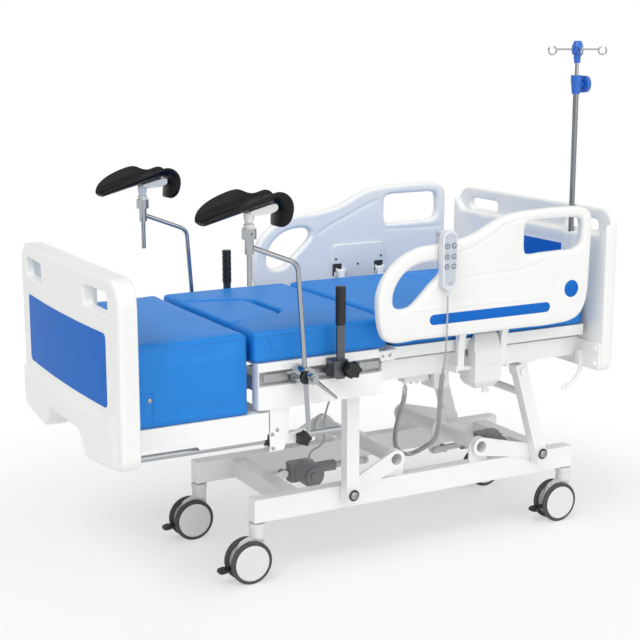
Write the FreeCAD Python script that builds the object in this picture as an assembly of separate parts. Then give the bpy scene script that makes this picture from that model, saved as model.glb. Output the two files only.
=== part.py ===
import FreeCAD, Part
import math
import os

# Electric delivery bed. Millimetres, +X to the head end, -Y to the near side, +Z up.
# The origin is on the floor under the middle of the bed.

V = FreeCAD.Vector

# Overall sizes
bed_length = 1900.0
board_width = 960.0
foot_board_thickness = 80.0
head_board_thickness = 57.0
running_gap = 0.05
slack = 0.3
side_gap = 1.0
foot_board_inner_x = -bed_length / 2 + foot_board_thickness
head_board_inner_x = bed_length / 2 - head_board_thickness

# Base frame
base_foot_x = -391.0
base_head_inset = 6.0
base_head_x = bed_length / 2 - base_head_inset
base_bottom_z = 210.0
base_rail_height = 80.0
base_rail_outer_y = 266.0
base_rail_width = 50.0
tube_wall = 3.0
drain_radius = 4.0
foot_cross_x = -220.0
head_cross_inset = 84.0
head_cross_x = base_head_x - head_cross_inset
cross_width = 60.0
cross_height = 60.0
bracket_width = 79.0
bracket_plate = 8.0
actuator_lug_gap = 12.0

# Castors
wheel_radius = 75.0
wheel_width = 22.0
wheel_spacing = 54.0
hub_radius = 62.0
axle_radius = 8.0
caster_trail = 34.0
caster_foot_inset = 19.0
caster_head_inset = 18.0
caster_foot_x = base_foot_x + caster_foot_inset
caster_head_x = base_head_x - caster_head_inset
caster_y = 241.0
stem_radius = 26.0
stem_bottom_z = 153.0
web_thickness = 26.0
pedal_width = 24.0
pedal_pin_radius = 3.0
pedal_pin_back = 38.0
pedal_pin_z = 65.0

# Lift linkage
foot_axis_x = 160.0
foot_axis_z = 355.0
foot_bolt_x = -41.0
foot_bolt_z = 269.0
head_axis_x = head_cross_x - 338.0
head_axis_z = 348.0
head_bolt_x = head_axis_x + 242.0
head_bolt_z = 299.0
head_top_x = head_axis_x + 145.0
head_top_z = 622.0
arm_plate = 8.0
torque_radius = 24.0
bolt_radius = 10.0
bolt_head_radius = 16.0
horn_radius = 85.0
leg_width = 48.0
leg_depth = 40.0
foot_actuator_x = -150.0
head_actuator_x = head_cross_x - 50.0
actuator_z = 275.0
foot_horn_turn = 20.0
head_horn_turn = -20.0
lift_retract = 64.0
fork_reach = 56.0

# Top frame
frame_foot_x = -412.0
frame_head_x = head_board_inner_x - side_gap
beam_outer_y = 345.0
beam_width = 45.0
beam_bottom_z = 668.0
beam_height = 67.0
channel_head_x = 30.0
channel_foot_x = -435.0
channel_outer_y = 390.0
channel_bottom_z = 636.0
channel_top_z = 782.0
channel_lip_z = 712.0
channel_edge_z = 762.0
sheet = 3.0
rail_bar_z = 737.0
rail_bar_height = 25.0

# Deck and cushions
deck_top_z = 790.0
mattress_top_z = 893.0
mattress_half_width = 390.0
cushion_gap = 5.0
seat_foot_x = -449.0
back_hinge_x = 63.0
back_hinge_z = 768.0
deck_hinge_gap = 50.0
back_lever_radius = 90.0
hinge_eye_radius = 16.0
back_lever_turn = 25.0
back_drive_x = -330.0
back_drive_z = 640.0
back_seam_x = 539.0
back_board_gap = 7.0
back_head_x = head_board_inner_x - back_board_gap
block_bottom_z = 627.0
block_gap = 10.0
cushion_corner = 45.0
plug_depth = 230.0
plug_front_half = 200.0
plug_rear_half = 140.0
plug_thickness = 60.0
finger_slot = 14.0

# Foot section
foot_rail_top_z = 622.0
foot_rail_bottom_z = 560.0
foot_rail_width = 35.0
foot_rail_head_x = -398.0
guide_y = 362.0
guide_z = 527.0
guide_radius = 11.0
guide_head_x = -120.0
bush_radius = 17.0
guide_block_foot_x = -392.0
guide_block_head_x = -250.0
lock_knob_x = -278.0
lock_knob_radius = 25.0

# End boards
board_bow = 20.0
foot_board_top_z = 1110.0
foot_board_leg_z = 508.0
head_board_bottom_z = 626.0
head_board_top_z = 1208.0
head_board_ledge_z = 1115.0
head_board_step = 24.0
head_board_upper_x = head_board_inner_x + head_board_step
hand_hole_inner_y = 210.0
hand_hole_outer_y = 400.0
panel_depth = 1.5

# Side rails
rail_outer_y = 480.0
rail_head_x = head_board_inner_x - 65.0
rail_thickness = 40.0
rail_edge = 9.0
rail_arm_low_y = 405.0
rail_arm_low_z = 690.0
rail_arm_high_y = 430.0
rail_arm_high_z = 905.0
rail_arm_thickness = 14.0
rail_arm_width = 26.0
rail_arm_foot_x = 328.0
rail_arm_head_x = 506.0
rail_pin_radius = 7.0
housing_foot_x = 372.0
housing_head_x = 483.0

# Leg holders and hand grips
leg_clamp_x = -292.0
leg_clamp_z = 748.0
leg_rod_y = 440.0
leg_rod_lean = 4.0
leg_rod_radius = 8.0
leg_rod_below = 190.0
leg_rod_above = 366.0
leg_clamp_radius = 29.0
clamp_lever_depth = 45.7
post_x = -486.0
post_radius = 8.0
sleeve_radius = 14.0
sleeve_bottom_z = 1155.0
sleeve_top_z = 1202.0
collar_radius = 23.0
collar_top_z = 1234.0
stub_top_z = 1272.0
cradle_half_length = 150.0
cradle_radius = 78.0
cradle_wall = 7.0
cradle_tilt = 14.0
cradle_pin_drop = 15.0
cradle_pin_radius = 5.0
grip_x = -159.0
grip_radius = 17.0
grip_bottom_z = 903.0
grip_top_z = 1026.0
grip_bar_width = 28.0
grip_bar_thickness = 8.0
grip_knob_x = -133.0

# Drip pole
pole_inset = 11.0
pole_x = head_board_inner_x + pole_inset
pole_y = -266.0
pole_radius = 10.0
pole_wall = 1.5
pole_bottom_z = 1000.0
pole_top_z = 1612.0
pole_inner_radius = 7.0
pole_clamp_height = 62.0
pole_clamp_top_z = pole_top_z + pole_clamp_height
hub_above_clamp = 121.0
hub_top_z = pole_clamp_top_z + hub_above_clamp
hook_reach = 89.0
hook_wire = 3.0
hook_turn = -29.0

# Handset
handset_x = 210.0
handset_width = 58.0
handset_depth = 24.0
handset_clearance = 8.0
reach = rail_outer_y + handset_clearance + handset_depth
handset_bottom_z = 991.0
handset_top_z = 1190.0
key_radius = 7.0
key_travel = 1.0

# Cords
handset_cord_radius = 3.0
curl_radius = 9.0
motor_cord_radius = 3.5


def block(x0, x1, y0, y1, z0, z1):
    return Part.makeBox(x1 - x0, y1 - y0, z1 - z0, V(x0, y0, z0))


def rod(radius, start, end):
    way = end - start
    return Part.makeCylinder(radius, way.Length, start, way)


def pin_y(radius, x, z, y0, y1):
    return rod(radius, V(x, y0, z), V(x, y1, z))


def corner_wire(corners, place):
    """Closed outline through (a, b, radius) corners, each rounded by a tangent arc."""
    count = len(corners)
    points = []
    for i in range(count):
        before = V(*corners[i - 1][:2], 0)
        here = V(*corners[i][:2], 0)
        after = V(*corners[(i + 1) % count][:2], 0)
        radius = corners[i][2]
        to_before = (before - here).normalize()
        to_after = (after - here).normalize()
        if radius <= 0:
            points.append((here, None, here))
            continue
        half = to_before.getAngle(to_after) / 2
        reach_along = radius / math.tan(half)
        inward = (to_before + to_after).normalize()
        middle = here + inward * (radius / math.sin(half) - radius)
        points.append((here + to_before * reach_along, middle, here + to_after * reach_along))
    edges = []
    for i in range(count):
        start, middle, end = points[i]
        if middle is not None:
            edges.append(Part.Arc(place(start), place(middle), place(end)).toShape())
        following = points[(i + 1) % count][0]
        if (following - end).Length > 0.01:
            edges.append(Part.LineSegment(place(end), place(following)).toShape())
    return Part.Wire(edges)


def slab_xz(corners, y0, y1):
    face = Part.Face(corner_wire(corners, lambda p: V(p.x, y0, p.y)))
    return face.extrude(V(0, y1 - y0, 0))


def slab_yz(corners, x0, x1):
    face = Part.Face(corner_wire(corners, lambda p: V(x0, p.x, p.y)))
    return face.extrude(V(x1 - x0, 0, 0))


def slab_xy(corners, z0, z1):
    face = Part.Face(corner_wire(corners, lambda p: V(p.x, p.y, z0)))
    return face.extrude(V(0, 0, z1 - z0))


def rounded_box(x0, x1, y0, y1, z0, z1, radius):
    corners = [(x0, y0, radius), (x1, y0, radius), (x1, y1, radius), (x0, y1, radius)]
    return slab_xy(corners, z0, z1)


def fuse(shapes):
    return shapes[0].multiFuse(shapes[1:]).removeSplitter()


def group(shapes):
    return Part.makeCompound(shapes)


def far_side(shape):
    return shape.mirror(V(0, 0, 0), V(0, 1, 0))


def both_sides(shape):
    return [shape, far_side(shape)]


def soften(shape, radius, chosen):
    return shape.makeFillet(radius, [edge for edge in shape.Edges if chosen(edge)])


def box_tube(x0, x1, y0, y1, z0, z1, along):
    """Square steel tube, open at its two ends."""
    wall = {axis: 0 if axis == along else tube_wall for axis in "xyz"}
    inside = block(x0 + wall["x"], x1 - wall["x"], y0 + wall["y"], y1 - wall["y"],
                   z0 + wall["z"], z1 - wall["z"])
    return block(x0, x1, y0, y1, z0, z1).cut(inside)


def link_plate(x0, z0, r0, x1, z1, r1, y0, y1):
    """Flat link with two round ends, joined by their common tangents."""
    length = math.hypot(x1 - x0, z1 - z0)
    lean = math.acos((r0 - r1) / length)
    heading = math.atan2(z1 - z0, x1 - x0)

    def on(cx, cz, radius, angle):
        return V(cx + radius * math.cos(angle), y0, cz + radius * math.sin(angle))

    upper = heading + lean
    lower = heading - lean
    ends = [on(x0, z0, r0, upper), on(x0, z0, r0, heading + math.pi), on(x0, z0, r0, lower),
            on(x1, z1, r1, lower), on(x1, z1, r1, heading), on(x1, z1, r1, upper)]
    edges = [Part.Arc(ends[0], ends[1], ends[2]).toShape(),
             Part.LineSegment(ends[2], ends[3]).toShape(),
             Part.Arc(ends[3], ends[4], ends[5]).toShape(),
             Part.LineSegment(ends[5], ends[0]).toShape()]
    return Part.Face(Part.Wire(edges)).extrude(V(0, y1 - y0, 0))


def star_knob(x, z, y0, y1, radius, lobes):
    """Lobed hand knob on a Y axis, open side toward y1."""
    body = pin_y(radius * 0.8, x, z, y0, y1)
    pieces = [body]
    for turn in range(lobes):
        angle = 2 * math.pi * turn / lobes
        lobe_x = x + radius * 0.76 * math.cos(angle)
        lobe_z = z + radius * 0.76 * math.sin(angle)
        pieces.append(pin_y(radius * 0.24, lobe_x, lobe_z, y0, y1))
    return fuse(pieces)


def save(name, shape):
    shape.exportStep(os.path.join("parts", name + ".step"))


# Base frame
def base_rail():
    outer = base_rail_outer_y
    inner = outer - base_rail_width
    top = base_bottom_z + base_rail_height
    tube = box_tube(base_foot_x, base_head_x, -outer, -inner, base_bottom_z, top, "x")
    ends = []
    for x in (base_foot_x, base_head_x - tube_wall):
        cap = block(x, x + tube_wall, -outer + 1, -inner - 1, base_bottom_z + 1, top - 1)
        hole = rod(drain_radius, V(x - 1, -outer + 25, base_bottom_z + 12),
                   V(x + tube_wall + 1, -outer + 25, base_bottom_z + 12))
        ends.append(cap.cut(hole))
    return fuse([tube] + ends)


def base_cross(x, low):
    inner = base_rail_outer_y - base_rail_width
    half = cross_width / 2
    tube = box_tube(x - half, x + half, -inner, inner, low, low + cross_height, "y")
    return tube.cut(rod(drain_radius, V(x, 150, low - 1), V(x, 150, low + tube_wall + 1)))


def pivot_bracket(x, z):
    """Standing plate on a base rail that carries one end of a torque tube."""
    top = base_bottom_z + base_rail_height
    half = bracket_width / 2
    y0 = -base_rail_outer_y + 12
    corners = [(x - half, top, 0), (x + half, top, 0), (x + half, z + 8, 26),
               (x + 12, z + 34, 20), (x - 12, z + 34, 20), (x - half, z + 8, 26)]
    plate = slab_xz(corners, y0, y0 + bracket_plate)
    return plate.cut(pin_y(torque_radius + running_gap, x, z, y0 - 1, y0 + bracket_plate + 1))


def actuator_lugs(x, z, face_x, face_z):
    """Two ears on a cross tube with the pin that holds the actuator's rear eye."""
    y = actuator_lug_gap
    pieces = [pin_y(6, x, z, -y - 8, y + 8)]
    keep = block(min(face_x, x - 20), max(face_x, x + 20), -50, 50, z - 100, z + 100)
    for low in (-y - 6, y):
        ear = link_plate(x, z, 14, face_x, face_z, 20, low, low + 6)
        pieces.append(ear.common(keep))
    return pieces


def base_frame():
    pieces = both_sides(base_rail())
    pieces.append(base_cross(foot_cross_x, base_bottom_z + 10))
    pieces.append(base_cross(head_cross_x, base_bottom_z + 10))
    for x, z in ((foot_axis_x, foot_axis_z), (head_axis_x, head_axis_z)):
        pieces += both_sides(pivot_bracket(x, z))
    foot_face = foot_cross_x + cross_width / 2
    head_face = head_cross_x - cross_width / 2
    pieces += actuator_lugs(foot_actuator_x, actuator_z, foot_face, actuator_z - 15)
    pieces += actuator_lugs(head_actuator_x, actuator_z, head_face, actuator_z - 15)
    return fuse(pieces)


# Castors
def caster_fork():
    """Stem housing and centre web between the twin wheels, at the stem's axis."""
    axle_x = -caster_trail
    half = web_thickness / 2
    stem = rod(stem_radius, V(0, 0, stem_bottom_z), V(0, 0, base_bottom_z - 14))
    collar = rod(stem_radius + 2.5, V(0, 0, base_bottom_z - 22), V(0, 0, base_bottom_z - 6))
    shaft = rod(12, V(0, 0, stem_bottom_z), V(0, 0, base_bottom_z))
    corners = [(stem_radius - 4, stem_bottom_z + 4, 0), (stem_radius - 4, 120, 10),
               (axle_x + 24, wheel_radius - 14, 12), (axle_x - 20, wheel_radius - 18, 14),
               (axle_x - 46, wheel_radius + 2, 14), (axle_x - 30, stem_bottom_z - 14, 30),
               (-stem_radius + 6, stem_bottom_z + 4, 8)]
    web = slab_xz(corners, -half, half)
    fork = fuse([stem, collar, shaft, web])
    fork = fork.cut(pin_y(axle_radius + running_gap, axle_x, wheel_radius, -half - 1, half + 1))
    slot = block(axle_x - 60, axle_x - 26, -pedal_width / 2 + 5, pedal_width / 2 - 5, 30, 92)
    pin = pin_y(pedal_pin_radius, axle_x - pedal_pin_back, pedal_pin_z, -half + 1, half - 1)
    return fuse([fork.cut(slot), pin])


def caster_wheels():
    """Twin wheels and their axle, with the axle at the local origin."""
    profile = [(0, 0), (hub_radius - 4, 0), (hub_radius, 2), (hub_radius + 2, 4),
               (wheel_radius - 4, 3), (wheel_radius, 7), (wheel_radius, wheel_width - 7),
               (wheel_radius - 4, wheel_width - 3), (hub_radius, wheel_width - 1),
               (hub_radius - 4, wheel_width - 4), (0, wheel_width - 4)]
    inner_face = wheel_spacing / 2 - wheel_width / 2
    points = [V(r, -inner_face - wheel_width + y, 0) for r, y in profile]
    face = Part.Face(Part.makePolygon(points + points[:1]))
    wheel = face.revolve(V(0, 0, 0), V(0, 1, 0), 360)
    axle = rod(axle_radius, V(0, -inner_face - 2, 0), V(0, inner_face + 2, 0))
    hub = rod(16, V(0, -inner_face - 6, 0), V(0, -web_thickness / 2 - 1, 0))
    return fuse([wheel, far_side(wheel), axle, hub, far_side(hub)])


def caster_pedal():
    """Brake pedal, hinged between the wheels behind the axle; hinge at the local origin."""
    half = pedal_width / 2
    tongue = slab_xz([(7, 5, 4), (-22, 2, 3), (-22, -8, 3), (7, -6, 4)], -half + 5.5, half - 5.5)
    pad = slab_xz([(-18, 1, 2), (-46, -8, 3), (-44, -16, 3), (-18, -10, 2)], -half + 1, half - 1)
    bore = pin_y(pedal_pin_radius + running_gap, 0, 0, -half, half)
    return fuse([tongue, pad]).cut(bore)


# Lift linkage
def horn_tip(axis_x, axis_z, turn):
    angle = math.radians(turn)
    return (axis_x + horn_radius * math.sin(angle), axis_z - horn_radius * math.cos(angle))


def crank(axis_x, axis_z, bolt_x, bolt_z, turn, with_pins):
    """Torque tube with an arm plate at each end and the horn the actuator works on."""
    arm_y = base_rail_outer_y + side_gap
    tube_face = arm_y + arm_plate
    tube = pin_y(torque_radius, axis_x, axis_z, -tube_face, tube_face)
    hollow = pin_y(torque_radius - tube_wall, axis_x, axis_z, -tube_face - 1, tube_face + 1)
    pieces = [tube]
    for side in (-1, 1):
        low = min(side * arm_y, side * tube_face)
        pieces.append(link_plate(axis_x, axis_z, 34, bolt_x, bolt_z, 24, low, low + arm_plate))
    tip_x, tip_z = horn_tip(axis_x, axis_z, turn)
    pieces.append(link_plate(axis_x, axis_z, 36, tip_x, tip_z, 15, -5, 5))
    result = fuse(pieces).cut(hollow)
    if with_pins:
        leg_outer = tube_face + side_gap + leg_depth
        shank = pin_y(bolt_radius, bolt_x, bolt_z, -leg_outer - slack, -arm_y)
        head = pin_y(bolt_head_radius, bolt_x, bolt_z, -leg_outer - slack - 8, -leg_outer - slack)
        result = fuse([result] + both_sides(shank) + both_sides(head))
    return result


def head_legs():
    """Swinging legs at the head end, joined by a tie tube below their top bolts."""
    inner = base_rail_outer_y + side_gap + arm_plate + side_gap
    dx = head_bolt_x - head_top_x
    dz = head_bolt_z - head_top_z
    length = math.hypot(dx, dz)
    half = leg_width / 2
    lean = math.degrees(math.atan2(dx, -dz))
    leg = block(-half, half, -inner - leg_depth, -inner, -length - 34, 30)
    hollow = block(-half + tube_wall, half - tube_wall, -inner - leg_depth + tube_wall,
                   -inner - tube_wall, -length - 28, 24)
    vent = rod(drain_radius, V(0, -inner - leg_depth / 2, -length - 40),
               V(0, -inner - leg_depth / 2, 40))
    bore = pin_y(bolt_radius + running_gap, 0, 0, -inner - leg_depth - 1, -inner + 1)
    leg = leg.cut(hollow).cut(vent)
    boss = pin_y(bolt_radius + 5, 0, 0, -inner - leg_depth, -inner)
    leg = fuse([leg, boss]).cut(bore)
    low_head = pin_y(bolt_head_radius, 0, -length, -inner - leg_depth - 8, -inner - leg_depth)
    tie = pin_y(14, 0, -95, -inner - 1, inner + 1)
    legs = fuse(both_sides(fuse([leg, low_head])) + [tie])
    legs.rotate(V(0, 0, 0), V(0, 1, 0), -lean)
    legs.translate(V(head_top_x, 0, head_top_z))
    return legs


def actuator_body(tube_end, bore_start):
    """Linear drive: rear eye, gear case, round motor across it and the outer tube."""
    eye = pin_y(13, 0, 0, -actuator_lug_gap + 1, actuator_lug_gap - 1)
    neck = block(0, 30, -8, 8, -10, 10)
    case = rounded_box(22, 118, -26, 26, -34, 34, 12)
    motor = pin_y(44, 76, 4, -92, -20)
    cap = pin_y(33, 76, 4, -104, -92)
    nub = pin_y(17, 76, 4, -111, -104)
    tube = rod(20, V(110, 0, 0), V(tube_end, 0, 0))
    body = fuse([eye, neck, case, motor, cap, nub, tube])
    body = body.cut(pin_y(6 + running_gap, 0, 0, -40, 40))
    return body.cut(rod(12 + running_gap, V(bore_start, 0, 0), V(tube_end + 1, 0, 0)))


def actuator_rod(start, tip):
    """Push rod with a fork that straddles the horn."""
    shaft = rod(12, V(start, 0, 0), V(tip - fork_reach + 8, 0, 0))
    block_end = block(tip - fork_reach, tip - fork_reach + 14, -13.5, 13.5, -14, 14)
    pieces = [shaft, block_end]
    for low in (-14, 7):
        pieces.append(link_plate(tip - fork_reach + 13, 0, 11, tip, 0, 12, low, low + 7))
    for low in (-18, 14):
        pieces.append(pin_y(8, tip, 0, low, low + 4))
    return fuse(pieces)


def lay_along(shape, start, end):
    """Turn a piece built along +X from the origin so that it points from start to end."""
    lean = math.degrees(math.atan2(end[1] - start[1], end[0] - start[0]))
    placed = shape.copy()
    placed.rotate(V(0, 0, 0), V(0, 1, 0), -lean)
    placed.translate(V(start[0], 0, start[1]))
    return placed


def actuator(start, tip, retract):
    """Drive body and push rod between two pivots, with room to draw in by retract."""
    span = math.hypot(tip[0] - start[0], tip[1] - start[1])
    bore_start = 122
    body = actuator_body(span - fork_reach - 8 - retract, bore_start)
    push = actuator_rod(bore_start + 3 + retract, span)
    return lay_along(body, start, tip), lay_along(push, start, tip)


# Top frame
def frame_beam():
    outer = beam_outer_y
    return box_tube(frame_foot_x, frame_head_x, -outer, -outer + beam_width,
                    beam_bottom_z, beam_bottom_z + beam_height, "x")


def frame_cross(x, width, low, height):
    inner = beam_outer_y - beam_width
    tube = box_tube(x, x + width, -inner, inner, low, low + height, "y")
    return tube.cut(rod(drain_radius, V(x + width / 2, 100, low - 1),
                        V(x + width / 2, 100, low + tube_wall + 1)))


def accessory_channel():
    """Folded side channel with the recess that holds the accessory bar."""
    outer = -channel_outer_y
    back = -beam_outer_y
    x0 = channel_foot_x
    x1 = channel_head_x
    pieces = [block(x0, x1, outer, outer + sheet, channel_bottom_z, channel_lip_z),
              block(x0, x1, outer, back, channel_lip_z - sheet, channel_lip_z),
              block(x0, x1, outer, back, channel_bottom_z, channel_bottom_z + sheet),
              block(x0, x1, back - sheet, back, channel_bottom_z, channel_top_z),
              block(x0, x1, outer, back, channel_top_z - sheet, channel_top_z),
              block(x0, x1, outer, outer + sheet, channel_edge_z, channel_top_z),
              block(x0, x0 + sheet, outer, back, channel_bottom_z, channel_top_z),
              block(x1 - sheet, x1, outer, back, channel_bottom_z, channel_top_z)]
    bar_low = rail_bar_z - rail_bar_height / 2
    pieces.append(block(x0 + 25, x1 - 8, outer + 12, outer + 18, bar_low, bar_low + rail_bar_height))
    for x in (x0 + 60, (x0 + x1) / 2, x1 - 65):
        pieces.append(pin_y(8, x, rail_bar_z, outer + 18, back))
    return pieces


def foot_leg():
    """Leg welded under the beam, with the bore of the lift crank's bolt."""
    inner = base_rail_outer_y + side_gap + arm_plate + side_gap
    outer = inner + leg_depth
    half = leg_width / 2
    x = foot_bolt_x
    low = foot_bolt_z - 28
    leg = block(x - half, x + half, -outer, -inner, low, beam_bottom_z)
    hollow = block(x - half + tube_wall, x + half - tube_wall, -outer + tube_wall,
                   -inner - tube_wall, low + 6, beam_bottom_z + 1)
    boss = pin_y(bolt_radius + 5, x, foot_bolt_z, -outer, -inner)
    leg = fuse([leg.cut(hollow), boss])
    vent = rod(drain_radius, V(x + 12, -inner - 14, low - 1), V(x + 12, -inner - 14, low + 7))
    plate = block(x - half, x + half, -outer, -inner + 30, beam_bottom_z - 6, beam_bottom_z)
    leg = fuse([leg, plate.cut(block(x - 8, x + 8, -outer + 12, -inner - 12, low, beam_bottom_z + 1))])
    return leg.cut(vent).cut(pin_y(bolt_radius + running_gap, x, foot_bolt_z, -outer - 1, -inner + 1))


def head_leg_lug():
    """Hanger under the beam with the bolt on which a head leg swings."""
    inner = base_rail_outer_y + side_gap + arm_plate + side_gap
    x = head_top_x
    z = head_top_z
    top = beam_bottom_z
    shelf = block(x - 34, x + 34, -beam_outer_y, -inner + 8, top - 6, top)
    lug = slab_xz([(x - 34, top, 0), (x - 22, z - 22, 18), (x + 22, z - 22, 18), (x + 34, top, 0)],
                  -inner + slack, -inner + 8)
    shank = pin_y(bolt_radius, x, z, -inner - leg_depth - slack, -inner + 8)
    head = pin_y(bolt_head_radius - 2, x, z, -inner - leg_depth - slack - 7,
                 -inner - leg_depth - slack)
    return [shelf, lug, shank, head]


def guide_hanger():
    """Plate under the channel with the block that holds a guide bush and lock knob."""
    outer = -channel_outer_y
    x0 = guide_block_foot_x
    plate = slab_xz([(x0, channel_bottom_z, 0), (x0, guide_z - 35, 4), (x0 + 50, guide_z - 32, 6),
                     (x0 + 69, guide_z + 30, 12), (x0 + 69, channel_bottom_z, 0)],
                    outer + 4, outer + 12)
    body = slab_yz([(outer + 12, guide_z - 19, 3), (-guide_y + 17, guide_z - 19, 8),
                    (-guide_y + 17, guide_z + 19, 8), (outer + 12, guide_z + 19, 3)],
                   x0, guide_block_head_x)
    pieces = [plate, body]
    for x, z in ((x0 + 36, guide_z + 38), (x0 + 18, guide_z + 24), (x0 + 20, guide_z - 20)):
        pieces.append(pin_y(5, x, z, outer + 1, outer + 5))
    hanger = fuse(pieces)
    hanger = hanger.cut(rod(bush_radius - 3, V(x0 - 1, -guide_y, guide_z),
                            V(guide_block_head_x + 1, -guide_y, guide_z)))
    return hanger.cut(pin_y(5 + running_gap, lock_knob_x, guide_z, outer, -guide_y))


def end_bracket():
    """Plate from the beam's end out to the head board, with the curved tie hook."""
    x1 = head_board_inner_x
    low = head_board_bottom_z + 6
    plate = slab_yz([(-470, low + 96, 6), (-470, low, 6), (-400, low, 20), (-360, low + 24, 20),
                     (-beam_outer_y + beam_width, low + 40, 0),
                     (-beam_outer_y + beam_width, low + 100, 0)], x1 - 6, x1)
    pieces = [plate, block(frame_head_x - 8, x1 - 2, -beam_outer_y, -beam_outer_y + beam_width,
                           beam_bottom_z + 1, beam_bottom_z + beam_height - 1)]
    for z in (low + 20, low + 76):
        pieces.append(rod(9, V(x1 - 14, -448, z), V(x1 - 6, -448, z)))
    hook_x = x1 - 100
    hook_z = low + 14
    ring = pin_y(96, hook_x, hook_z, -382, -376).cut(pin_y(80, hook_x, hook_z, -383, -375))
    sweep = slab_xz([(hook_x, hook_z, 0), (x1, hook_z, 0), (x1, hook_z - 110, 0),
                     (hook_x + 20, hook_z - 110, 0)], -390, -370)
    eye = pin_y(11, hook_x + 15.8, hook_z - 86.6, -382, -376)
    hook = fuse([ring.common(sweep), eye]).cut(pin_y(5, hook_x + 15.8, hook_z - 86.6, -390, -370))
    foot = block(x1 - 24, x1 - 4, -382, -360, low + 8, low + 60)
    return [fuse(pieces + [hook, foot])]


def main_frame():
    pieces = both_sides(frame_beam())
    cross_low = beam_bottom_z + 6
    for x in (frame_foot_x + 12, 390, frame_head_x - 62):
        pieces.append(frame_cross(x, 50, cross_low, 50))
    pieces.append(frame_cross(foot_bolt_x - 19, 40, beam_bottom_z + 36, 28))
    lug_face = frame_foot_x + 62
    pieces += actuator_lugs(back_drive_x, back_drive_z, lug_face, cross_low + 22)
    for piece in accessory_channel() + [foot_leg()] + head_leg_lug():
        pieces += both_sides(piece)
    for piece in [guide_hanger()] + end_bracket():
        pieces += both_sides(piece)
    return fuse(pieces)


def seat_deck():
    """Folded sheet under the seat cushion, with the two ears of the back hinge."""
    half = channel_outer_y - 2
    x0 = channel_foot_x
    x1 = back_hinge_x - deck_hinge_gap
    pan = block(x0, x1, -half, half, channel_top_z, deck_top_z)
    pocket = block(x0 + 40, x1 - 40, -half + 60, half - 60, channel_top_z - 1, deck_top_z - sheet)
    return pan.cut(pocket)


def hinge_ears():
    """Ear plates at the channels' head ends that carry the back section's pivots."""
    outer = -channel_outer_y
    x = back_hinge_x
    z = back_hinge_z
    x0 = channel_head_x - 12
    plate = slab_xz([(x0, z - 18, 4), (x + 8, z - 18, 14), (x + 20, z - 10, 12),
                     (x + 20, z + 8, 12), (x + 8, z + 16, 14), (x0, z + 14, 4)], outer - 4, outer)
    pieces = [plate, pin_y(8, x, z, outer - 8, outer + 26)]
    for bolt_x in (x0 + 8, x0 + 34):
        pieces.append(pin_y(4.5, bolt_x, z - 2, outer - 7, outer - 4))
    return fuse(pieces)


def guide_bushes():
    """Flanged plastic bushes of the guide rods."""
    x0 = guide_block_foot_x
    sleeve = rod(bush_radius - 3, V(x0, -guide_y, guide_z), V(x0 + 60, -guide_y, guide_z))
    flange = rod(bush_radius, V(x0 - 9, -guide_y, guide_z), V(x0, -guide_y, guide_z))
    bush = fuse([sleeve, flange]).cut(rod(guide_radius + running_gap, V(x0 - 20, -guide_y, guide_z),
                                          V(x0 + 70, -guide_y, guide_z)))
    return both_sides(bush)


# Back section
def back_deck():
    """Frame under the back and head cushions, with its hinge eyes and drive lever."""
    outer = channel_outer_y - 2
    top = deck_top_z
    low = back_hinge_z - hinge_eye_radius
    x0 = back_hinge_x + 12
    x1 = back_head_x - 8
    pieces = []
    for y0 in (-outer, outer - 25):
        pieces.append(box_tube(back_hinge_x + 20, x1, y0, y0 + 25, low, top - 4, "x"))
        eye = link_plate(back_hinge_x, back_hinge_z, hinge_eye_radius, back_hinge_x + 50,
                         back_hinge_z, hinge_eye_radius - 0.5, y0, y0 + 25)
        pieces.append(eye)
    for x in (x0, 290, back_seam_x - 14, x1 - 30):
        tube = box_tube(x, x + 28, -outer + 25, outer - 25, top - 29, top - 4, "y")
        pieces.append(tube.cut(rod(drain_radius, V(x + 14, 100, top - 40), V(x + 14, 100, top - 20))))
    plate = block(x0, x1, -outer, outer, top - 4, top)
    for x in (170, 420, 690):
        for row in range(-3, 4):
            slot = rounded_box(x - 60, x + 60, row * 85 - 10, row * 85 + 10, top - 5, top + 1, 9.9)
            plate = plate.cut(slot)
    pieces.append(plate)
    tip_x, tip_z = back_lever_tip()
    lever = link_plate(back_hinge_x + 50, top - 16, 20, tip_x, tip_z, 14, -5, 5)
    pieces.append(lever.cut(block(0, back_seam_x, -9, 9, top - 4, top + 110)))
    return fuse(pieces).cut(pin_y(8 + running_gap, back_hinge_x, back_hinge_z, -outer - 5, outer + 5))


def back_lever_tip():
    angle = math.radians(back_lever_turn)
    return (back_hinge_x - back_lever_radius * math.sin(angle),
            back_hinge_z - back_lever_radius * math.cos(angle))


# Cushions
def cushion(x0, x1, z0, z1):
    half = mattress_half_width
    pad = rounded_box(x0, x1, -half, half, z0, z1, cushion_corner / 2)
    return soften(pad, 12, lambda edge: abs(edge.BoundBox.ZMin - z1) < 0.1)


def plug_corners(grow):
    x0 = seat_foot_x
    x1 = seat_foot_x + plug_depth + grow
    return [(x0 - 20, -plug_front_half - grow, 0), (x0 + 30, -plug_front_half - grow, 30),
            (x1, -plug_rear_half - grow, 50), (x1, plug_rear_half + grow, 50),
            (x0 + 30, plug_front_half + grow, 30), (x0 - 20, plug_front_half + grow, 0)]


def seat_cushion():
    pad = cushion(seat_foot_x, back_hinge_x - cushion_gap, deck_top_z + slack, mattress_top_z)
    low = mattress_top_z - plug_thickness
    pocket = slab_xy(plug_corners(1.5), low - slack, mattress_top_z + 5)
    x1 = seat_foot_x + plug_depth
    slot = rounded_box(x1 - 6, x1 + finger_slot, -plug_rear_half + 30, plug_rear_half - 30,
                       low + 10, mattress_top_z + 5, 6)
    return pad.cut(pocket).cut(slot)


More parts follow.
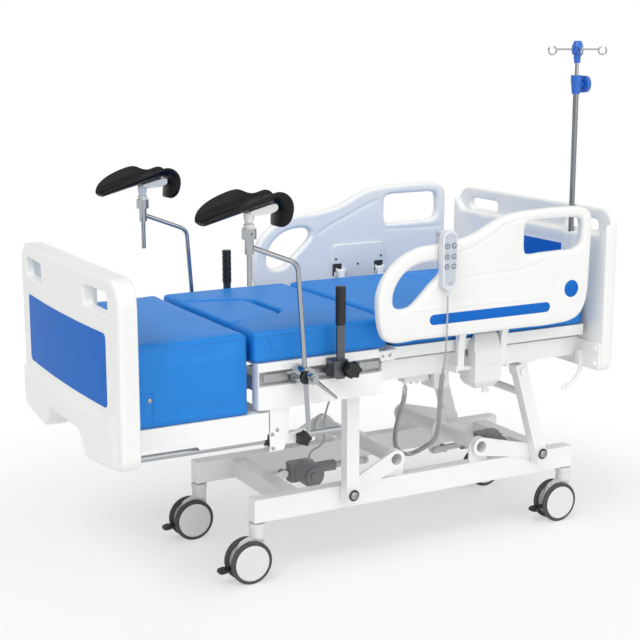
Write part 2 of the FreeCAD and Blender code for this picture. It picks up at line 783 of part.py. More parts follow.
def seat_plug():
    low = mattress_top_z - plug_thickness
    return slab_xy(plug_corners(0), low, mattress_top_z - 1).common(
        block(seat_foot_x + 1, seat_foot_x + plug_depth + 1, -plug_front_half - 1, plug_front_half + 1,
              low - 1, mattress_top_z))


def back_cushion():
    return cushion(back_hinge_x + cushion_gap, back_head_x, deck_top_z + slack, mattress_top_z)


def foot_cushion():
    return cushion(foot_board_inner_x + 4, seat_foot_x - block_gap, block_bottom_z + slack,
                   mattress_top_z - 3)


# Foot section
def foot_frame():
    outer = channel_outer_y
    x0 = foot_board_inner_x
    x1 = foot_rail_head_x
    low = foot_rail_bottom_z
    top = foot_rail_top_z
    pieces = []
    for y0 in (-outer, outer - foot_rail_width):
        pieces.append(box_tube(x0, x1, y0, y0 + foot_rail_width, low, top, "x"))
    inner = outer - foot_rail_width
    for x in (x0, x1 - 40):
        tube = box_tube(x, x + 40, -inner, inner, low + 10, top, "y")
        pieces.append(tube.cut(rod(drain_radius, V(x + 20, 100, low), V(x + 20, 100, low + 20))))
    pieces.append(block(x0, x1, -outer, outer, top, block_bottom_z))
    pieces.append(rounded_box(x0 + 40, x0 + 85, -85, 85, low - 22, low + 12, 10))
    gusset = slab_xz([(-662, low + 2, 0), (-640, low - 23, 4), (x1 - 6, low - 23, 4),
                      (x1 - 6, low + 2, 0)], -outer, -outer + 4)
    pieces += both_sides(gusset)
    hanger = slab_xz([(x0, low + 2, 0), (x0, guide_z - 20, 0), (x0 + 14, guide_z - 20, 6),
                      (x0 + 40, low + 2, 0)], -guide_y - 18, -guide_y + 18)
    pieces += both_sides(hanger)
    tip = slab_xz([(x1 - 30, low + 2, 0), (x1 - 30, low - 4, 0), (x1, low - 4, 0),
                   (x1, low + 2, 0)], -outer, -outer + foot_rail_width)
    pieces += both_sides(tip)
    frame = fuse(pieces)
    for side in (-1, 1):
        frame = frame.cut(rod(guide_radius, V(x0 - 1, side * guide_y, guide_z),
                              V(x0 + 60, side * guide_y, guide_z)))
    return frame


def guide_rods():
    bar = rod(guide_radius, V(foot_board_inner_x + 0.5, -guide_y, guide_z),
              V(guide_head_x, -guide_y, guide_z))
    return both_sides(bar)


def bowed_block(x_outer, x_inner, half, low, top, bow):
    """Block whose outer face is bowed out along X, seen from above."""
    side = 1 if x_outer > x_inner else -1
    edge_x = x_outer - side * bow
    corners = [V(edge_x, -half, low), V(x_outer, 0, low), V(edge_x, half, low)]
    arc = Part.Arc(corners[0], corners[1], corners[2]).toShape()
    lines = Part.makePolygon([corners[2], V(x_inner, half, low), V(x_inner, -half, low), corners[0]])
    face = Part.Face(Part.Wire([arc] + lines.Edges))
    return face.extrude(V(0, 0, top - low))


def hand_hole(side, low, top, x0, x1):
    y0 = side * hand_hole_inner_y
    y1 = side * hand_hole_outer_y
    corners = [(y0, low, 16), (y1, low, 21), (y1, top, 21), (y0, top, 16)]
    return slab_yz(corners, x0, x1)


def foot_board():
    half = board_width / 2
    top = foot_board_top_z
    leg = foot_board_leg_z
    right = [(0, leg + 78, 0), (150, leg + 78, 30), (205, leg, 25), (half, leg + 18, 40),
             (half, top, 75)]
    left = [(-y, z, r) for y, z, r in reversed(right[1:])]
    outline = slab_yz(right + left, -bed_length / 2 - 1, foot_board_inner_x)
    bowed = bowed_block(-bed_length / 2, foot_board_inner_x, half + 10, leg - 10, top + 10,
                        board_bow)
    board = outline.common(bowed)
    inner_x = foot_board_inner_x
    board = soften(board, 12, lambda edge: edge.BoundBox.XMax < inner_x - 1
                   and edge.BoundBox.XMin < -bed_length / 2 + board_bow + 1
                   and edge.BoundBox.ZMax > leg + 100)
    for side in (-1, 1):
        board = board.cut(hand_hole(side, 1000, 1066, -bed_length / 2 - 5, inner_x + 5))
    for low, high in ((leg + 110, 960),):
        cavity = block(inner_x - 46, inner_x - 7, -half + 30, half - 30, low, high)
        board = board.cut(cavity)
    for side in (-1, 1):
        vent = rod(drain_radius, V(inner_x - 26, side * 300, leg - 10), V(inner_x - 26, side * 300, leg + 120))
        board = board.cut(vent)
    panel = slab_yz([(-380, 707, 18), (380, 707, 18), (380, 940, 18), (-380, 940, 18)],
                    -bed_length / 2 - 2, -bed_length / 2 + 20)
    skin = bowed_block(-bed_length / 2 + panel_depth, inner_x, half, leg, top, board_bow)
    return board.cut(panel.cut(skin))


def head_board():
    half = board_width / 2
    low = head_board_bottom_z
    top = head_board_top_z
    outline = slab_yz([(-half, low, 30), (half, low, 30), (half, top, 70), (-half, top, 70)],
                      head_board_inner_x, bed_length / 2 + 1)
    bowed = bowed_block(bed_length / 2, head_board_inner_x, half + 10, low - 5, top + 5, 8)
    board = outline.common(bowed)
    board = soften(board, 10, lambda edge: edge.BoundBox.XMin > head_board_inner_x + 30
                   and edge.BoundBox.ZMax > low + 60)
    step = slab_yz([(-half + 50, head_board_ledge_z, 14), (half - 50, head_board_ledge_z, 14),
                    (half + 10, head_board_ledge_z + 60, 40), (half + 10, top + 10, 0),
                    (-half - 10, top + 10, 0), (-half - 10, head_board_ledge_z + 60, 40)],
                   head_board_inner_x - 1, head_board_upper_x)
    board = board.cut(step)
    for side in (-1, 1):
        board = board.cut(hand_hole(side, 1126, 1170, head_board_inner_x, bed_length / 2 + 5))
    cavity = block(head_board_inner_x + 7, bed_length / 2 - 16, -half + 34, half - 34, low + 90, 960)
    board = board.cut(cavity)
    board = board.cut(rod(drain_radius, V(920, 300, low - 5), V(920, 300, low + 100)))
    panel = slab_yz([(-390, 700, 18), (390, 700, 18), (390, 1085, 18), (-390, 1085, 18)],
                    head_board_inner_x - 1, head_board_inner_x + panel_depth)
    board = board.cut(panel)
    for side in (-1, 1):
        socket = rod(pole_radius + slack, V(pole_x, side * pole_y, pole_bottom_z),
                     V(pole_x, side * pole_y, head_board_ledge_z + 5))
        board = board.cut(socket)
    return board


# Side rails
def side_rail():
    """Moulded drop-down rail with its two hand openings and the stripe recess."""
    y0 = -rail_outer_y
    y1 = y0 + rail_thickness
    x1 = rail_head_x
    outline = [(2, 828, 30), (x1 - 38, 828, 60), (x1 - 2, 980, 300), (x1, 1232, 32), (x1 - 228, 1232, 120),
               (420, 1228, 160), (300, 1160, 120), (50, 1150, 90), (-42, 1010, 90), (-40, 900, 60)]
    rail = slab_xz(outline, y0, y1)
    rail = soften(rail, rail_edge, lambda edge: edge.BoundBox.YMax < y0 + 0.1 or edge.BoundBox.YMin > y1 - 0.1)
    front = [(12, 940, 26), (70, 930, 24), (240, 1060, 40), (110, 1092, 50), (20, 1062, 30)]
    rear = [(x1 - 287, 1083, 16), (x1 - 74, 1083, 24), (x1 - 74, 1194, 24), (x1 - 287, 1190, 22)]
    rail = rail.cut(slab_xz(front, y0 - 1, y1 + 1)).cut(slab_xz(rear, y0 - 1, y1 + 1))
    stripe = slab_xz([(153, 873, 17.9), (651, 873, 17.9), (651, 909, 17.9), (153, 909, 17.9)],
                     y0 - 1, y0 + panel_depth)
    badge = pin_y(31, x1 - 86, 947, y0 - 1, y0 + panel_depth)
    rail = rail.cut(stripe).cut(badge)
    pocket = slab_xz([(300, 862, 8), (534, 862, 8), (534, 1012, 14), (300, 1012, 14)], y1 - 6, y1 + 1)
    rail = rail.cut(pocket)
    for x in (rail_arm_foot_x, rail_arm_head_x):
        gap = rail_arm_width / 2 + side_gap
        for low in (x - gap - 5, x + gap):
            ear = slab_yz([(y1 - 7, rail_arm_high_z - 16, 0), (-rail_arm_high_y + 13, rail_arm_high_z - 13, 12),
                           (-rail_arm_high_y + 13, rail_arm_high_z + 13, 12),
                           (y1 - 7, rail_arm_high_z + 16, 0)], low, low + 5)
            rail = rail.fuse(ear)
    pivots = rod(rail_pin_radius + running_gap, V(housing_foot_x - 90, -rail_arm_high_y, rail_arm_high_z),
                 V(housing_head_x + 60, -rail_arm_high_y, rail_arm_high_z))
    return rail.removeSplitter().cut(pivots)


def rail_arms():
    """Pair of arms on one shaft that carry the rail."""
    low_y = -rail_arm_low_y
    high_y = -rail_arm_high_y
    pieces = []
    half = rail_arm_thickness / 2
    for x in (rail_arm_foot_x, rail_arm_head_x):
        x0 = x - rail_arm_width / 2
        x1 = x + rail_arm_width / 2
        outline = [(low_y - half, rail_arm_low_z - half, half - 0.1),
                   (low_y + half, rail_arm_low_z - half, half - 0.1),
                   (low_y + half, rail_arm_low_z + 120, 80),
                   (high_y + 10, rail_arm_high_z, 9), (high_y + 8, rail_arm_high_z + 10, 8),
                   (high_y - 8, rail_arm_high_z + 10, 8), (high_y - 9, rail_arm_high_z - 30, 60),
                   (low_y - half - 4, rail_arm_low_z + 90, 60)]
        pieces.append(slab_yz(outline, x0, x1))
        pieces.append(rod(rail_pin_radius, V(x0 - 6, high_y, rail_arm_high_z),
                          V(x1 + 6, high_y, rail_arm_high_z)))
    pieces.append(rod(rail_pin_radius, V(rail_arm_foot_x - 20, low_y, rail_arm_low_z),
                      V(rail_arm_head_x + 20, low_y, rail_arm_low_z)))
    return fuse(pieces)


def rail_housing():
    """Ribbed casing on the beam that holds the arms' shaft and the release."""
    x0 = housing_foot_x
    x1 = housing_head_x
    outer = -rail_outer_y + rail_thickness + 3
    side = slab_yz([(-beam_outer_y, 725, 0), (-channel_outer_y - 3, 725, 0),
                    (-channel_outer_y - 3, 806, 0), (-channel_outer_y - 14, 806, 6), (outer, 740, 30),
                    (outer, 640, 20), (-408, 612, 10), (-beam_outer_y, 620, 0)], x0, x1)
    front = slab_xz([(x0, 640, 0), (x0 + 22, 612, 8), (x1 - 20, 612, 14), (x1, 660, 0),
                     (x1, 810, 0), (x0 + 22, 810, 0), (x0, 760, 0)], -460, -300)
    casing = side.common(front)
    for step in range(4):
        z = 672 + 26 * step
        groove = block(x0 + 26, x1 - 18, outer - 1, outer + 1.2, z, z + 2.4)
        casing = casing.cut(groove)
    lever = slab_xz([(x0 + 52, 616, 3), (x0 + 48, 596, 4), (x0 + 76, 594, 6), (x0 + 80, 604, 4),
                     (x0 + 66, 616, 3)], -412, -406)
    screw = pin_y(8, x1 - 14, 648, outer - 4, outer + 8)
    casing = fuse([casing, lever, screw])
    return casing.cut(rod(rail_pin_radius + running_gap, V(x0 - 5, -rail_arm_low_y, rail_arm_low_z),
                          V(x1 + 5, -rail_arm_low_y, rail_arm_low_z)))


def shaft_blocks():
    """Pillow blocks outside the arms, on the beam's outer face."""
    pieces = []
    for x in (rail_arm_foot_x - 20, rail_arm_head_x + 13.5):
        body = block(x, x + 6.5, -rail_arm_low_y - 10, -beam_outer_y, rail_arm_low_z - 12,
                     rail_arm_low_z + 12)
        pieces.append(body.cut(rod(rail_pin_radius + running_gap,
                                   V(x - 5, -rail_arm_low_y, rail_arm_low_z),
                                   V(x + 20, -rail_arm_low_y, rail_arm_low_z))))
    return pieces


# Leg holders
def lean_about_clamp(shape):
    leaned = shape.copy()
    leaned.rotate(V(leg_clamp_x, 0, leg_clamp_z), V(0, 1, 0), -leg_rod_lean)
    return leaned


def leg_clamp():
    """Round clamp on the accessory bar with the bore of the leg holder's rod."""
    back = -channel_outer_y
    jaw = block(leg_clamp_x - 24, leg_clamp_x + 24, back - 8, back, channel_lip_z + 2, channel_edge_z - 2)
    shank = block(leg_clamp_x - 20, leg_clamp_x + 20, back, back + 11.5, rail_bar_z - 10, rail_bar_z + 10)
    drum = pin_y(leg_clamp_radius, leg_clamp_x, leg_clamp_z, back - 68, back - 8)
    nose = pin_y(14, leg_clamp_x, leg_clamp_z, back - 76, back - 68)
    pin = rod(5, V(leg_clamp_x - 52, back - 20, leg_clamp_z + 8), V(leg_clamp_x - 20, back - 20, leg_clamp_z + 8))
    bore = rod(leg_rod_radius + running_gap, V(leg_clamp_x, -leg_rod_y, leg_clamp_z - 60),
               V(leg_clamp_x, -leg_rod_y, leg_clamp_z + 60))
    return fuse([jaw, shank, drum, nose, pin]).cut(lean_about_clamp(bore))


def clamp_lever():
    """Tommy-bar lever that tightens the leg clamp."""
    inner = -channel_outer_y - 76 - slack
    outer = inner - clamp_lever_depth
    hub = pin_y(17, leg_clamp_x, leg_clamp_z, outer + 10, inner)
    tip = pin_y(11, leg_clamp_x, leg_clamp_z, outer, outer + 10)
    y = (outer + inner) / 2
    start = V(leg_clamp_x + 8, y, leg_clamp_z - 6)
    way = V(80, 0, -68)
    bar = Part.makeCone(7, 4.5, way.Length, start, way)
    return fuse([hub, tip, bar])


def leg_rod():
    """Bent rod of a leg holder with the sleeve at its upper end."""
    y = -leg_rod_y
    low = V(leg_clamp_x, y, leg_clamp_z - leg_rod_below)
    bend = V(leg_clamp_x, y, leg_clamp_z + leg_rod_above)
    turn = FreeCAD.Rotation(V(0, 1, 0), -leg_rod_lean)
    centre = V(leg_clamp_x, y, leg_clamp_z)
    low = centre + turn.multVec(low - centre)
    bend = centre + turn.multVec(bend - centre)
    sleeve_z = (sleeve_bottom_z + sleeve_top_z) / 2
    end = V(post_x, y, sleeve_z)
    up = (bend - low).normalize()
    over = (end - bend).normalize()
    radius = 40
    half = (math.pi - up.getAngle(over)) / 2
    cut = radius / math.tan(half)
    start_arc = bend - up * cut
    end_arc = bend + over * cut
    inward = (over - up).normalize()
    middle = bend + inward * (radius / math.sin(half) - radius)
    path = Part.Wire([Part.LineSegment(low, start_arc).toShape(),
                      Part.Arc(start_arc, middle, end_arc).toShape(),
                      Part.LineSegment(end_arc, end - over * 6).toShape()])
    profile = Part.Wire(Part.makeCircle(leg_rod_radius, low, up))
    tube = path.makePipeShell([profile], True, True)
    sleeve = rod(sleeve_radius, V(post_x, y, sleeve_bottom_z), V(post_x, y, sleeve_top_z))
    bore = rod(post_radius + running_gap, V(post_x, y, sleeve_bottom_z - 1), V(post_x, y, sleeve_top_z + 1))
    return fuse([tube, sleeve]).cut(bore)


def leg_post():
    """Post that turns in the rod's sleeve; its fork carries the leg cradle."""
    y = -leg_rod_y
    stem = rod(post_radius, V(post_x, y, 1056), V(post_x, y, sleeve_top_z + 6))
    collar = rod(collar_radius, V(post_x, y, sleeve_top_z + slack), V(post_x, y, collar_top_z))
    neck = rod(17, V(post_x, y, collar_top_z), V(post_x, y, stub_top_z - 24))
    pin_z = stub_top_z - 6
    ear = block(post_x - 12, post_x + 12, y - 4, y + 4, pin_z - 22, pin_z)
    head = pin_y(12, post_x, pin_z, y - 4, y + 4)
    lock = rod(5, V(post_x, y - 34, collar_top_z - 14), V(post_x, y - 18, collar_top_z - 14))
    bore = pin_y(cradle_pin_radius + running_gap, post_x, pin_z, y - 5, y + 5)
    return fuse([stem, collar, neck, ear, head, lock]).cut(bore)


def cradle_section(x, radius, sweep, lift, wall):
    """Closed U-shaped section of the cradle at one station along its length."""
    start = math.radians(270 - sweep / 2)
    end = math.radians(270 + sweep / 2)
    middle = math.radians(270)

    def at(r, angle):
        return V(x, r * math.cos(angle), lift + radius + r * math.sin(angle))

    outer = Part.Arc(at(radius, start), at(radius, middle), at(radius, end)).toShape()
    inner = Part.Arc(at(radius - wall, end), at(radius - wall, middle), at(radius - wall, start)).toShape()
    join_a = Part.LineSegment(at(radius, end), at(radius - wall, end)).toShape()
    join_b = Part.LineSegment(at(radius - wall, start), at(radius, start)).toShape()
    return Part.Wire([outer, join_a, inner, join_b])


def leg_cradle():
    """Saddle-shaped leg shell, highest at its knee end, with its tilt pin and ears."""
    drop = cradle_pin_drop
    stations = ((-1.0, 0.86, 150, 4), (-0.45, 0.82, 128, 0), (0.0, 0.84, 118, 0),
                (0.5, 0.98, 140, 2), (1.0, 1.06, 172, 12))
    sections = []
    for share, size, sweep, lift in stations:
        sections.append(cradle_section(share * cradle_half_length, cradle_radius * size, sweep,
                                       lift, cradle_wall))
    shell = Part.makeLoft(sections, True, False)
    pieces = [shell]
    for low in (-14, 4.5):
        ear = slab_xz([(-26, 4, 0), (-13, -drop - 8, 10), (13, -drop - 8, 10), (26, 4, 0)],
                      low, low + 9.5)
        pieces.append(ear)
    pieces.append(pin_y(cradle_pin_radius, 0, -drop, -16, 16))
    cradle = fuse(pieces)
    cradle.rotate(V(0, 0, -drop), V(0, 1, 0), -cradle_tilt)
    cradle.translate(V(post_x, -leg_rod_y, stub_top_z - 6 + drop))
    return cradle


# Hand grips
def grip_clamp_parts():
    back = -channel_outer_y
    x = grip_x
    body = rounded_box(x - 32, x + 22, back - 60, back - side_gap, channel_lip_z + 16, channel_edge_z + 22, 5)
    slider = block(x - 26, x + 18, back - 2, back + 11.5, rail_bar_z - 9, rail_bar_z + 9)
    plate = slab_xz([(x + 20, channel_lip_z + 20, 0), (x + 70, channel_lip_z + 20, 8),
                     (x + 70, channel_edge_z - 1, 10), (x + 20, channel_edge_z - 1, 0)], back - 6, back - 2)
    return [body, slider, plate]


def hand_grip():
    """Clamp block, flat bar and ribbed hand grip."""
    y = -leg_rod_y + 6
    x = grip_x
    pieces = grip_clamp_parts()
    bar = block(x - grip_bar_width / 2, x + grip_bar_width / 2, y - grip_bar_thickness / 2,
                y + grip_bar_thickness / 2, channel_lip_z + 8, grip_bottom_z)
    pieces.append(bar)
    core = rod(grip_radius - 2, V(x, y, grip_bottom_z - 4), V(x, y, grip_top_z))
    pieces.append(core)
    count = 6
    pitch = (grip_top_z - grip_bottom_z) / count
    for step in range(count):
        low = grip_bottom_z + step * pitch
        pieces.append(rod(grip_radius, V(x, y, low + 2), V(x, y, low + pitch - 2)))
    return fuse(pieces)


def grip_knob():
    back = -channel_outer_y
    z = channel_edge_z - 8
    knob = star_knob(grip_knob_x, z, back - 90, back - 66, 29, 6)
    neck = pin_y(10, grip_knob_x, z, back - 66, back - 60 - slack)
    return fuse([knob, neck])


def foot_lock_knob():
    outer = -channel_outer_y
    knob = star_knob(lock_knob_x, guide_z, outer - 24, outer + 2, lock_knob_radius, 5)
    neck = pin_y(8, lock_knob_x, guide_z, outer + 2, outer + 12 - slack)
    shank = pin_y(5, lock_knob_x, guide_z, outer + 6, -guide_y - guide_radius - 1)
    return fuse([knob, neck, shank])


# Drip pole
def pole_outer():
    """Fixed tube of the drip pole with the moulded clamp body at its top."""
    foot = V(pole_x, pole_y, pole_bottom_z)
    top = V(pole_x, pole_y, pole_top_z)
    tube = rod(pole_radius, foot, top)
    clamp = Part.makeCone(15, 20, pole_clamp_top_z - pole_top_z - 14, V(pole_x, pole_y, pole_top_z - 4))
    cap = rod(20, V(pole_x, pole_y, pole_clamp_top_z - 18), V(pole_x, pole_y, pole_clamp_top_z))
    boss = rod(12, V(pole_x, pole_y, pole_clamp_top_z - 32), V(pole_x + 24, pole_y, pole_clamp_top_z - 32))
    bore = rod(pole_inner_radius + running_gap, V(pole_x, pole_y, pole_bottom_z + 60),
               V(pole_x, pole_y, pole_clamp_top_z + 1))
    return fuse([tube, clamp, cap, boss]).cut(bore)


def pole_knob():
    z = pole_clamp_top_z - 32
    start = V(pole_x + 24 + slack, pole_y, z)
    disc = rod(30, V(pole_x + 28, pole_y, z), V(pole_x + 44, pole_y, z))
    neck = rod(9, start, V(pole_x + 28, pole_y, z))
    cap = rod(12, V(pole_x + 44, pole_y, z), V(pole_x + 46, pole_y, z))
    return fuse([disc, neck, cap])


def pole_inner():
    """Sliding rod with the moulded hub and its four drip hooks."""
    low = pole_top_z - 300
    stem = rod(pole_inner_radius, V(pole_x, pole_y, low), V(pole_x, pole_y, hub_top_z - 30))
    neck = Part.makeCone(11, 14, 34, V(pole_x, pole_y, hub_top_z - 78))
    hub = rod(20, V(pole_x, pole_y, hub_top_z - 44), V(pole_x, pole_y, hub_top_z - 18))
    dome = Part.makeCone(20, 12, 18, V(pole_x, pole_y, hub_top_z - 18))
    pieces = [stem, neck, hub, dome]
    wire_z = hub_top_z - 30
    for quarter in range(4):
        arm = rod(hook_wire, V(14, 0, wire_z), V(hook_reach - 14, 0, wire_z))
        ring = Part.makeTorus(14, hook_wire, V(hook_reach, 0, wire_z - 4), V(0, 1, 0))
        hook = fuse([arm, ring.cut(block(hook_reach - 3, hook_reach + 9, -9, 9, wire_z, wire_z + 30))])
        hook.rotate(V(0, 0, 0), V(0, 0, 1), hook_turn + 90 * quarter)
        hook.translate(V(pole_x, pole_y, 0))
        pieces.append(hook)
    return fuse(pieces)


# Handset and control boxes
def handset():
    """Hand control with its rail hook and cord strain relief."""
    x0 = handset_x - handset_width / 2
    x1 = handset_x + handset_width / 2
    y0 = -reach
    y1 = y0 + handset_depth
    body = slab_xz([(x0 + 5, handset_bottom_z, 22), (x1 - 5, handset_bottom_z, 22), (x1, 1080, 200),
                    (x1, handset_top_z, 27), (x0, handset_top_z, 27), (x0, 1080, 200)], y0, y1)
    body = soften(body, 4, lambda edge: edge.BoundBox.YMax < y0 + 0.1)
    hook = slab_yz([(y1 - 4, 1160, 0), (y1 - 4, 1184, 4), (-rail_outer_y + rail_thickness + 6, 1184, 6),
                    (-rail_outer_y + rail_thickness + 6, 1120, 3), (-rail_outer_y + rail_thickness + 2, 1120, 0),
                    (-rail_outer_y + rail_thickness + 2, 1176, 3), (-rail_outer_y - 2, 1176, 3), (-rail_outer_y - 2, 1160, 0)],
                   handset_x - 12, handset_x + 12)
    relief = Part.makeCone(6, handset_cord_radius + 1, 22, V(handset_x, (y0 + y1) / 2, handset_bottom_z + 1),
                           V(0, 0, -1))
    body = fuse([body, hook, relief])
    for x, z in key_places():
        body = body.cut(pin_y(key_radius + slack, x, z, y0 - 1, y0 + 3))
    return body


def key_places():
    places = []
    for z in (1139, 1104, 1071):
        for x in (handset_x - 13.5, handset_x + 13.5):
            places.append((x, z))
    return places


def handset_keys():
    y0 = -reach
    keys = [pin_y(key_radius, x, z, y0 + 0.4, y0 + 1.8) for x, z in key_places()]
    return group(keys)


def control_boxes():
    """Vented drive control under the beam and the block the leads plug into."""
    box = rounded_box(268, 330, -340, -258, 612, beam_bottom_z, 5)
    for step in range(6):
        z = 622 + 7 * step
        box = box.cut(block(276, 300, -341, -338, z, z + 3))
    leads = rounded_box(162, 262, -318, -270, 640, beam_bottom_z, 4)
    stubs = []
    for x in (176, 202, 226, 250):
        stubs.append(rod(6, V(x, -296, 628), V(x, -296, 642)))
    return group([box, fuse([leads] + stubs)])


# Cords
def cord_tube(points, radius):
    """Round tube on straight runs joined by tangent arcs; prints its radii."""
    corners = [V(*p) for p in points]
    edges = []
    last = corners[0]
    bends = []
    for i in range(1, len(corners) - 1):
        before = corners[i] - corners[i - 1]
        after = corners[i + 1] - corners[i]
        turn = before.getAngle(after)
        shorter = min(before.Length, after.Length)
        cut = 0.45 * shorter
        bend = cut / math.tan(turn / 2)
        bends.append(round(bend, 1))
        into = V(before).normalize()
        out = V(after).normalize()
        start = corners[i] - into * cut
        end = corners[i] + out * cut
        inward = (out - into).normalize()
        middle = corners[i] + inward * (bend / math.cos(turn / 2) - bend)
        edges.append(Part.LineSegment(last, start).toShape())
        edges.append(Part.Arc(start, middle, end).toShape())
        last = end
    edges.append(Part.LineSegment(last, corners[-1]).toShape())
    path = Part.Wire(edges)
    profile = Part.Wire(Part.makeCircle(radius, corners[0], corners[1] - corners[0]))
    tube = path.makePipeShell([profile], True, True)
    section = math.pi * radius * radius * path.Length
    print("cord", round(path.Length), "mm, radii", bends, "volume ratio", round(tube.Volume / section, 4))
    return tube


def handset_cord_route():
    return [(210, -500, 970), (210, -500, 925), (212, -497, 868), (216, -488, 815),
            (225, -471, 765), (234, -449, 725), (242, -430, 690)]


def handset_curl_route():
    return [(242.1, -429.8, 689.5), (253.2, -406, 641), (264, -384, 580), (280, -358, 515), (300, -324, 452),
            (312, -280, 402), (318, -228, 372), (312, -182, 340), (290, -146, 318), (262, -130, 326),
            (236, -140, 362), (218, -168, 412), (204, -204, 466), (190, -246, 520), (178, -286, 566),
            (176, -296, 598), (176, -296, 627.5)]


def foot_motor_route():
    return [(2, -130, 674), (0, -130, 640), (-14, -128, 590), (-34, -122, 540), (-42, -114, 490),
            (-38, -108, 444), (-36, -100, 406), (-46, -84, 380), (-66, -66, 366), (-74, -58, 346),
            (-74, -58, 323.3)]


# Every piece, written to its own file
os.makedirs("parts", exist_ok=True)

save("base_frame", base_frame())

corners_of_base = {"near_foot": (caster_foot_x, -1), "far_foot": (caster_foot_x, 1),
                   "near_head": (caster_head_x, -1), "far_head": (caster_head_x, 1)}
fork_shape = caster_fork()
wheels_shape = caster_wheels()
pedal_shape = caster_pedal()
for corner, (stem_x, side) in corners_of_base.items():
    stem_y = side * caster_y
    save("caster_fork_" + corner, fork_shape.translated(V(stem_x, stem_y, 0)))
    axle = V(stem_x - caster_trail, stem_y, wheel_radius)
    save("caster_wheels_" + corner, wheels_shape.translated(axle))
    hinge = V(stem_x - caster_trail - pedal_pin_back, stem_y, pedal_pin_z)
    save("caster_pedal_" + corner, pedal_shape.translated(hinge))

save("foot_crank", crank(foot_axis_x, foot_axis_z, foot_bolt_x, foot_bolt_z, foot_horn_turn, True))
save("head_crank", crank(head_axis_x, head_axis_z, head_bolt_x, head_bolt_z, head_horn_turn, False))
save("head_legs", head_legs())

foot_drive, foot_push = actuator((foot_actuator_x, actuator_z),
                                 horn_tip(foot_axis_x, foot_axis_z, foot_horn_turn), lift_retract)
save("foot_lift_motor", foot_drive)
save("foot_lift_rod", foot_push)
head_drive, head_push = actuator((head_actuator_x, actuator_z),
                                 horn_tip(head_axis_x, head_axis_z, head_horn_turn), lift_retract)
save("head_lift_motor", head_drive)
save("head_lift_rod", head_push)
back_drive, back_push = actuator((back_drive_x, back_drive_z), back_lever_tip(), 0)
save("back_motor", back_drive)
save("back_rod", back_push)

top_pieces = [main_frame(), seat_deck()]
for piece in shaft_blocks() + [hinge_ears()]:
    top_pieces += both_sides(piece)
save("main_frame", group([fuse(top_pieces)] + guide_bushes()))
save("back_deck", back_deck())
save("rail_housings", group(both_sides(rail_housing())))
save("control_boxes", control_boxes())

save("seat_cushion", seat_cushion())
save("seat_plug", seat_plug())
save("back_cushion", back_cushion())
save("foot_cushion", foot_cushion())

save("foot_frame", group([foot_frame()] + guide_rods()))
save("foot_board", foot_board())
save("head_board", head_board())

sided = {"side_rail": side_rail(), "rail_arms": rail_arms(), "leg_clamp_lever": clamp_lever(),
         "leg_rod": leg_rod(), "leg_post": leg_post(), "leg_cradle": leg_cradle(),
         "hand_grip": hand_grip(), "grip_knob": grip_knob(), "foot_lock_knob": foot_lock_knob()}
for name, shape in sided.items():
    save(name + "_near", shape)
    save(name + "_far", far_side(shape))
save("leg_clamps", group(both_sides(leg_clamp())))

save("drip_pole_tube", pole_outer())
save("drip_pole_rod", pole_inner())
save("drip_pole_knob", pole_knob())
save("handset", handset())
save("handset_keys", handset_keys())

save("handset_cord", cord_tube(handset_cord_route(), handset_cord_radius))
save("handset_curl", cord_tube(handset_curl_route(), curl_radius))
save("foot_motor_lead", cord_tube(foot_motor_route(), motor_cord_radius))
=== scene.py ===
import math

import bmesh
import bpy
import numpy as np
from mathutils import Matrix, Vector


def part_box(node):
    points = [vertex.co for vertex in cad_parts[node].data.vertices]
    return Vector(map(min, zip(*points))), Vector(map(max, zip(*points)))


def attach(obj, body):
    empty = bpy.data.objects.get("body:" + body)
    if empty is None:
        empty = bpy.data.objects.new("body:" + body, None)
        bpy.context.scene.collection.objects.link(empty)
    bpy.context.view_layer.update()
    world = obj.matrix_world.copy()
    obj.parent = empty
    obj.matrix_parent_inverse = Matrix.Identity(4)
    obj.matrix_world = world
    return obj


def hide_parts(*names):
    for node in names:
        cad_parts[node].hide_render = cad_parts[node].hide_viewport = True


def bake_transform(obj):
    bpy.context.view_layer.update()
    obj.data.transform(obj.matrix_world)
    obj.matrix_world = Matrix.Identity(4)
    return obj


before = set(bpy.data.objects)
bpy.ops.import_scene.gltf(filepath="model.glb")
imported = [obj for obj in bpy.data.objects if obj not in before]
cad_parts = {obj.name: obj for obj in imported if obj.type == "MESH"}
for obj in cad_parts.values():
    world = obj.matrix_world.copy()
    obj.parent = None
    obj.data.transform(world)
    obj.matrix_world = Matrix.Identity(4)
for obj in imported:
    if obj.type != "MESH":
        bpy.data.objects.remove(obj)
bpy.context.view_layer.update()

bl_info = {
    "name": "Electric delivery bed",
    "version": (1, 0, 0),
    "blender": (4, 5, 0),
    "location": "3D View > Sidebar > Bed",
    "description": "Dresses the packed delivery bed: cushions, insets, leads, fittings and finishes",
    "category": "Add Mesh",
}

MM = 0.001


def linear(text):
    """Linear colour of an sRGB hex value such as #2a84d6."""
    parts = [int(text[i:i + 2], 16) / 255 for i in (1, 3, 5)]
    parts = [c / 12.92 if c <= 0.04045 else ((c + 0.055) / 1.055) ** 2.4 for c in parts]
    return (*parts, 1.0)


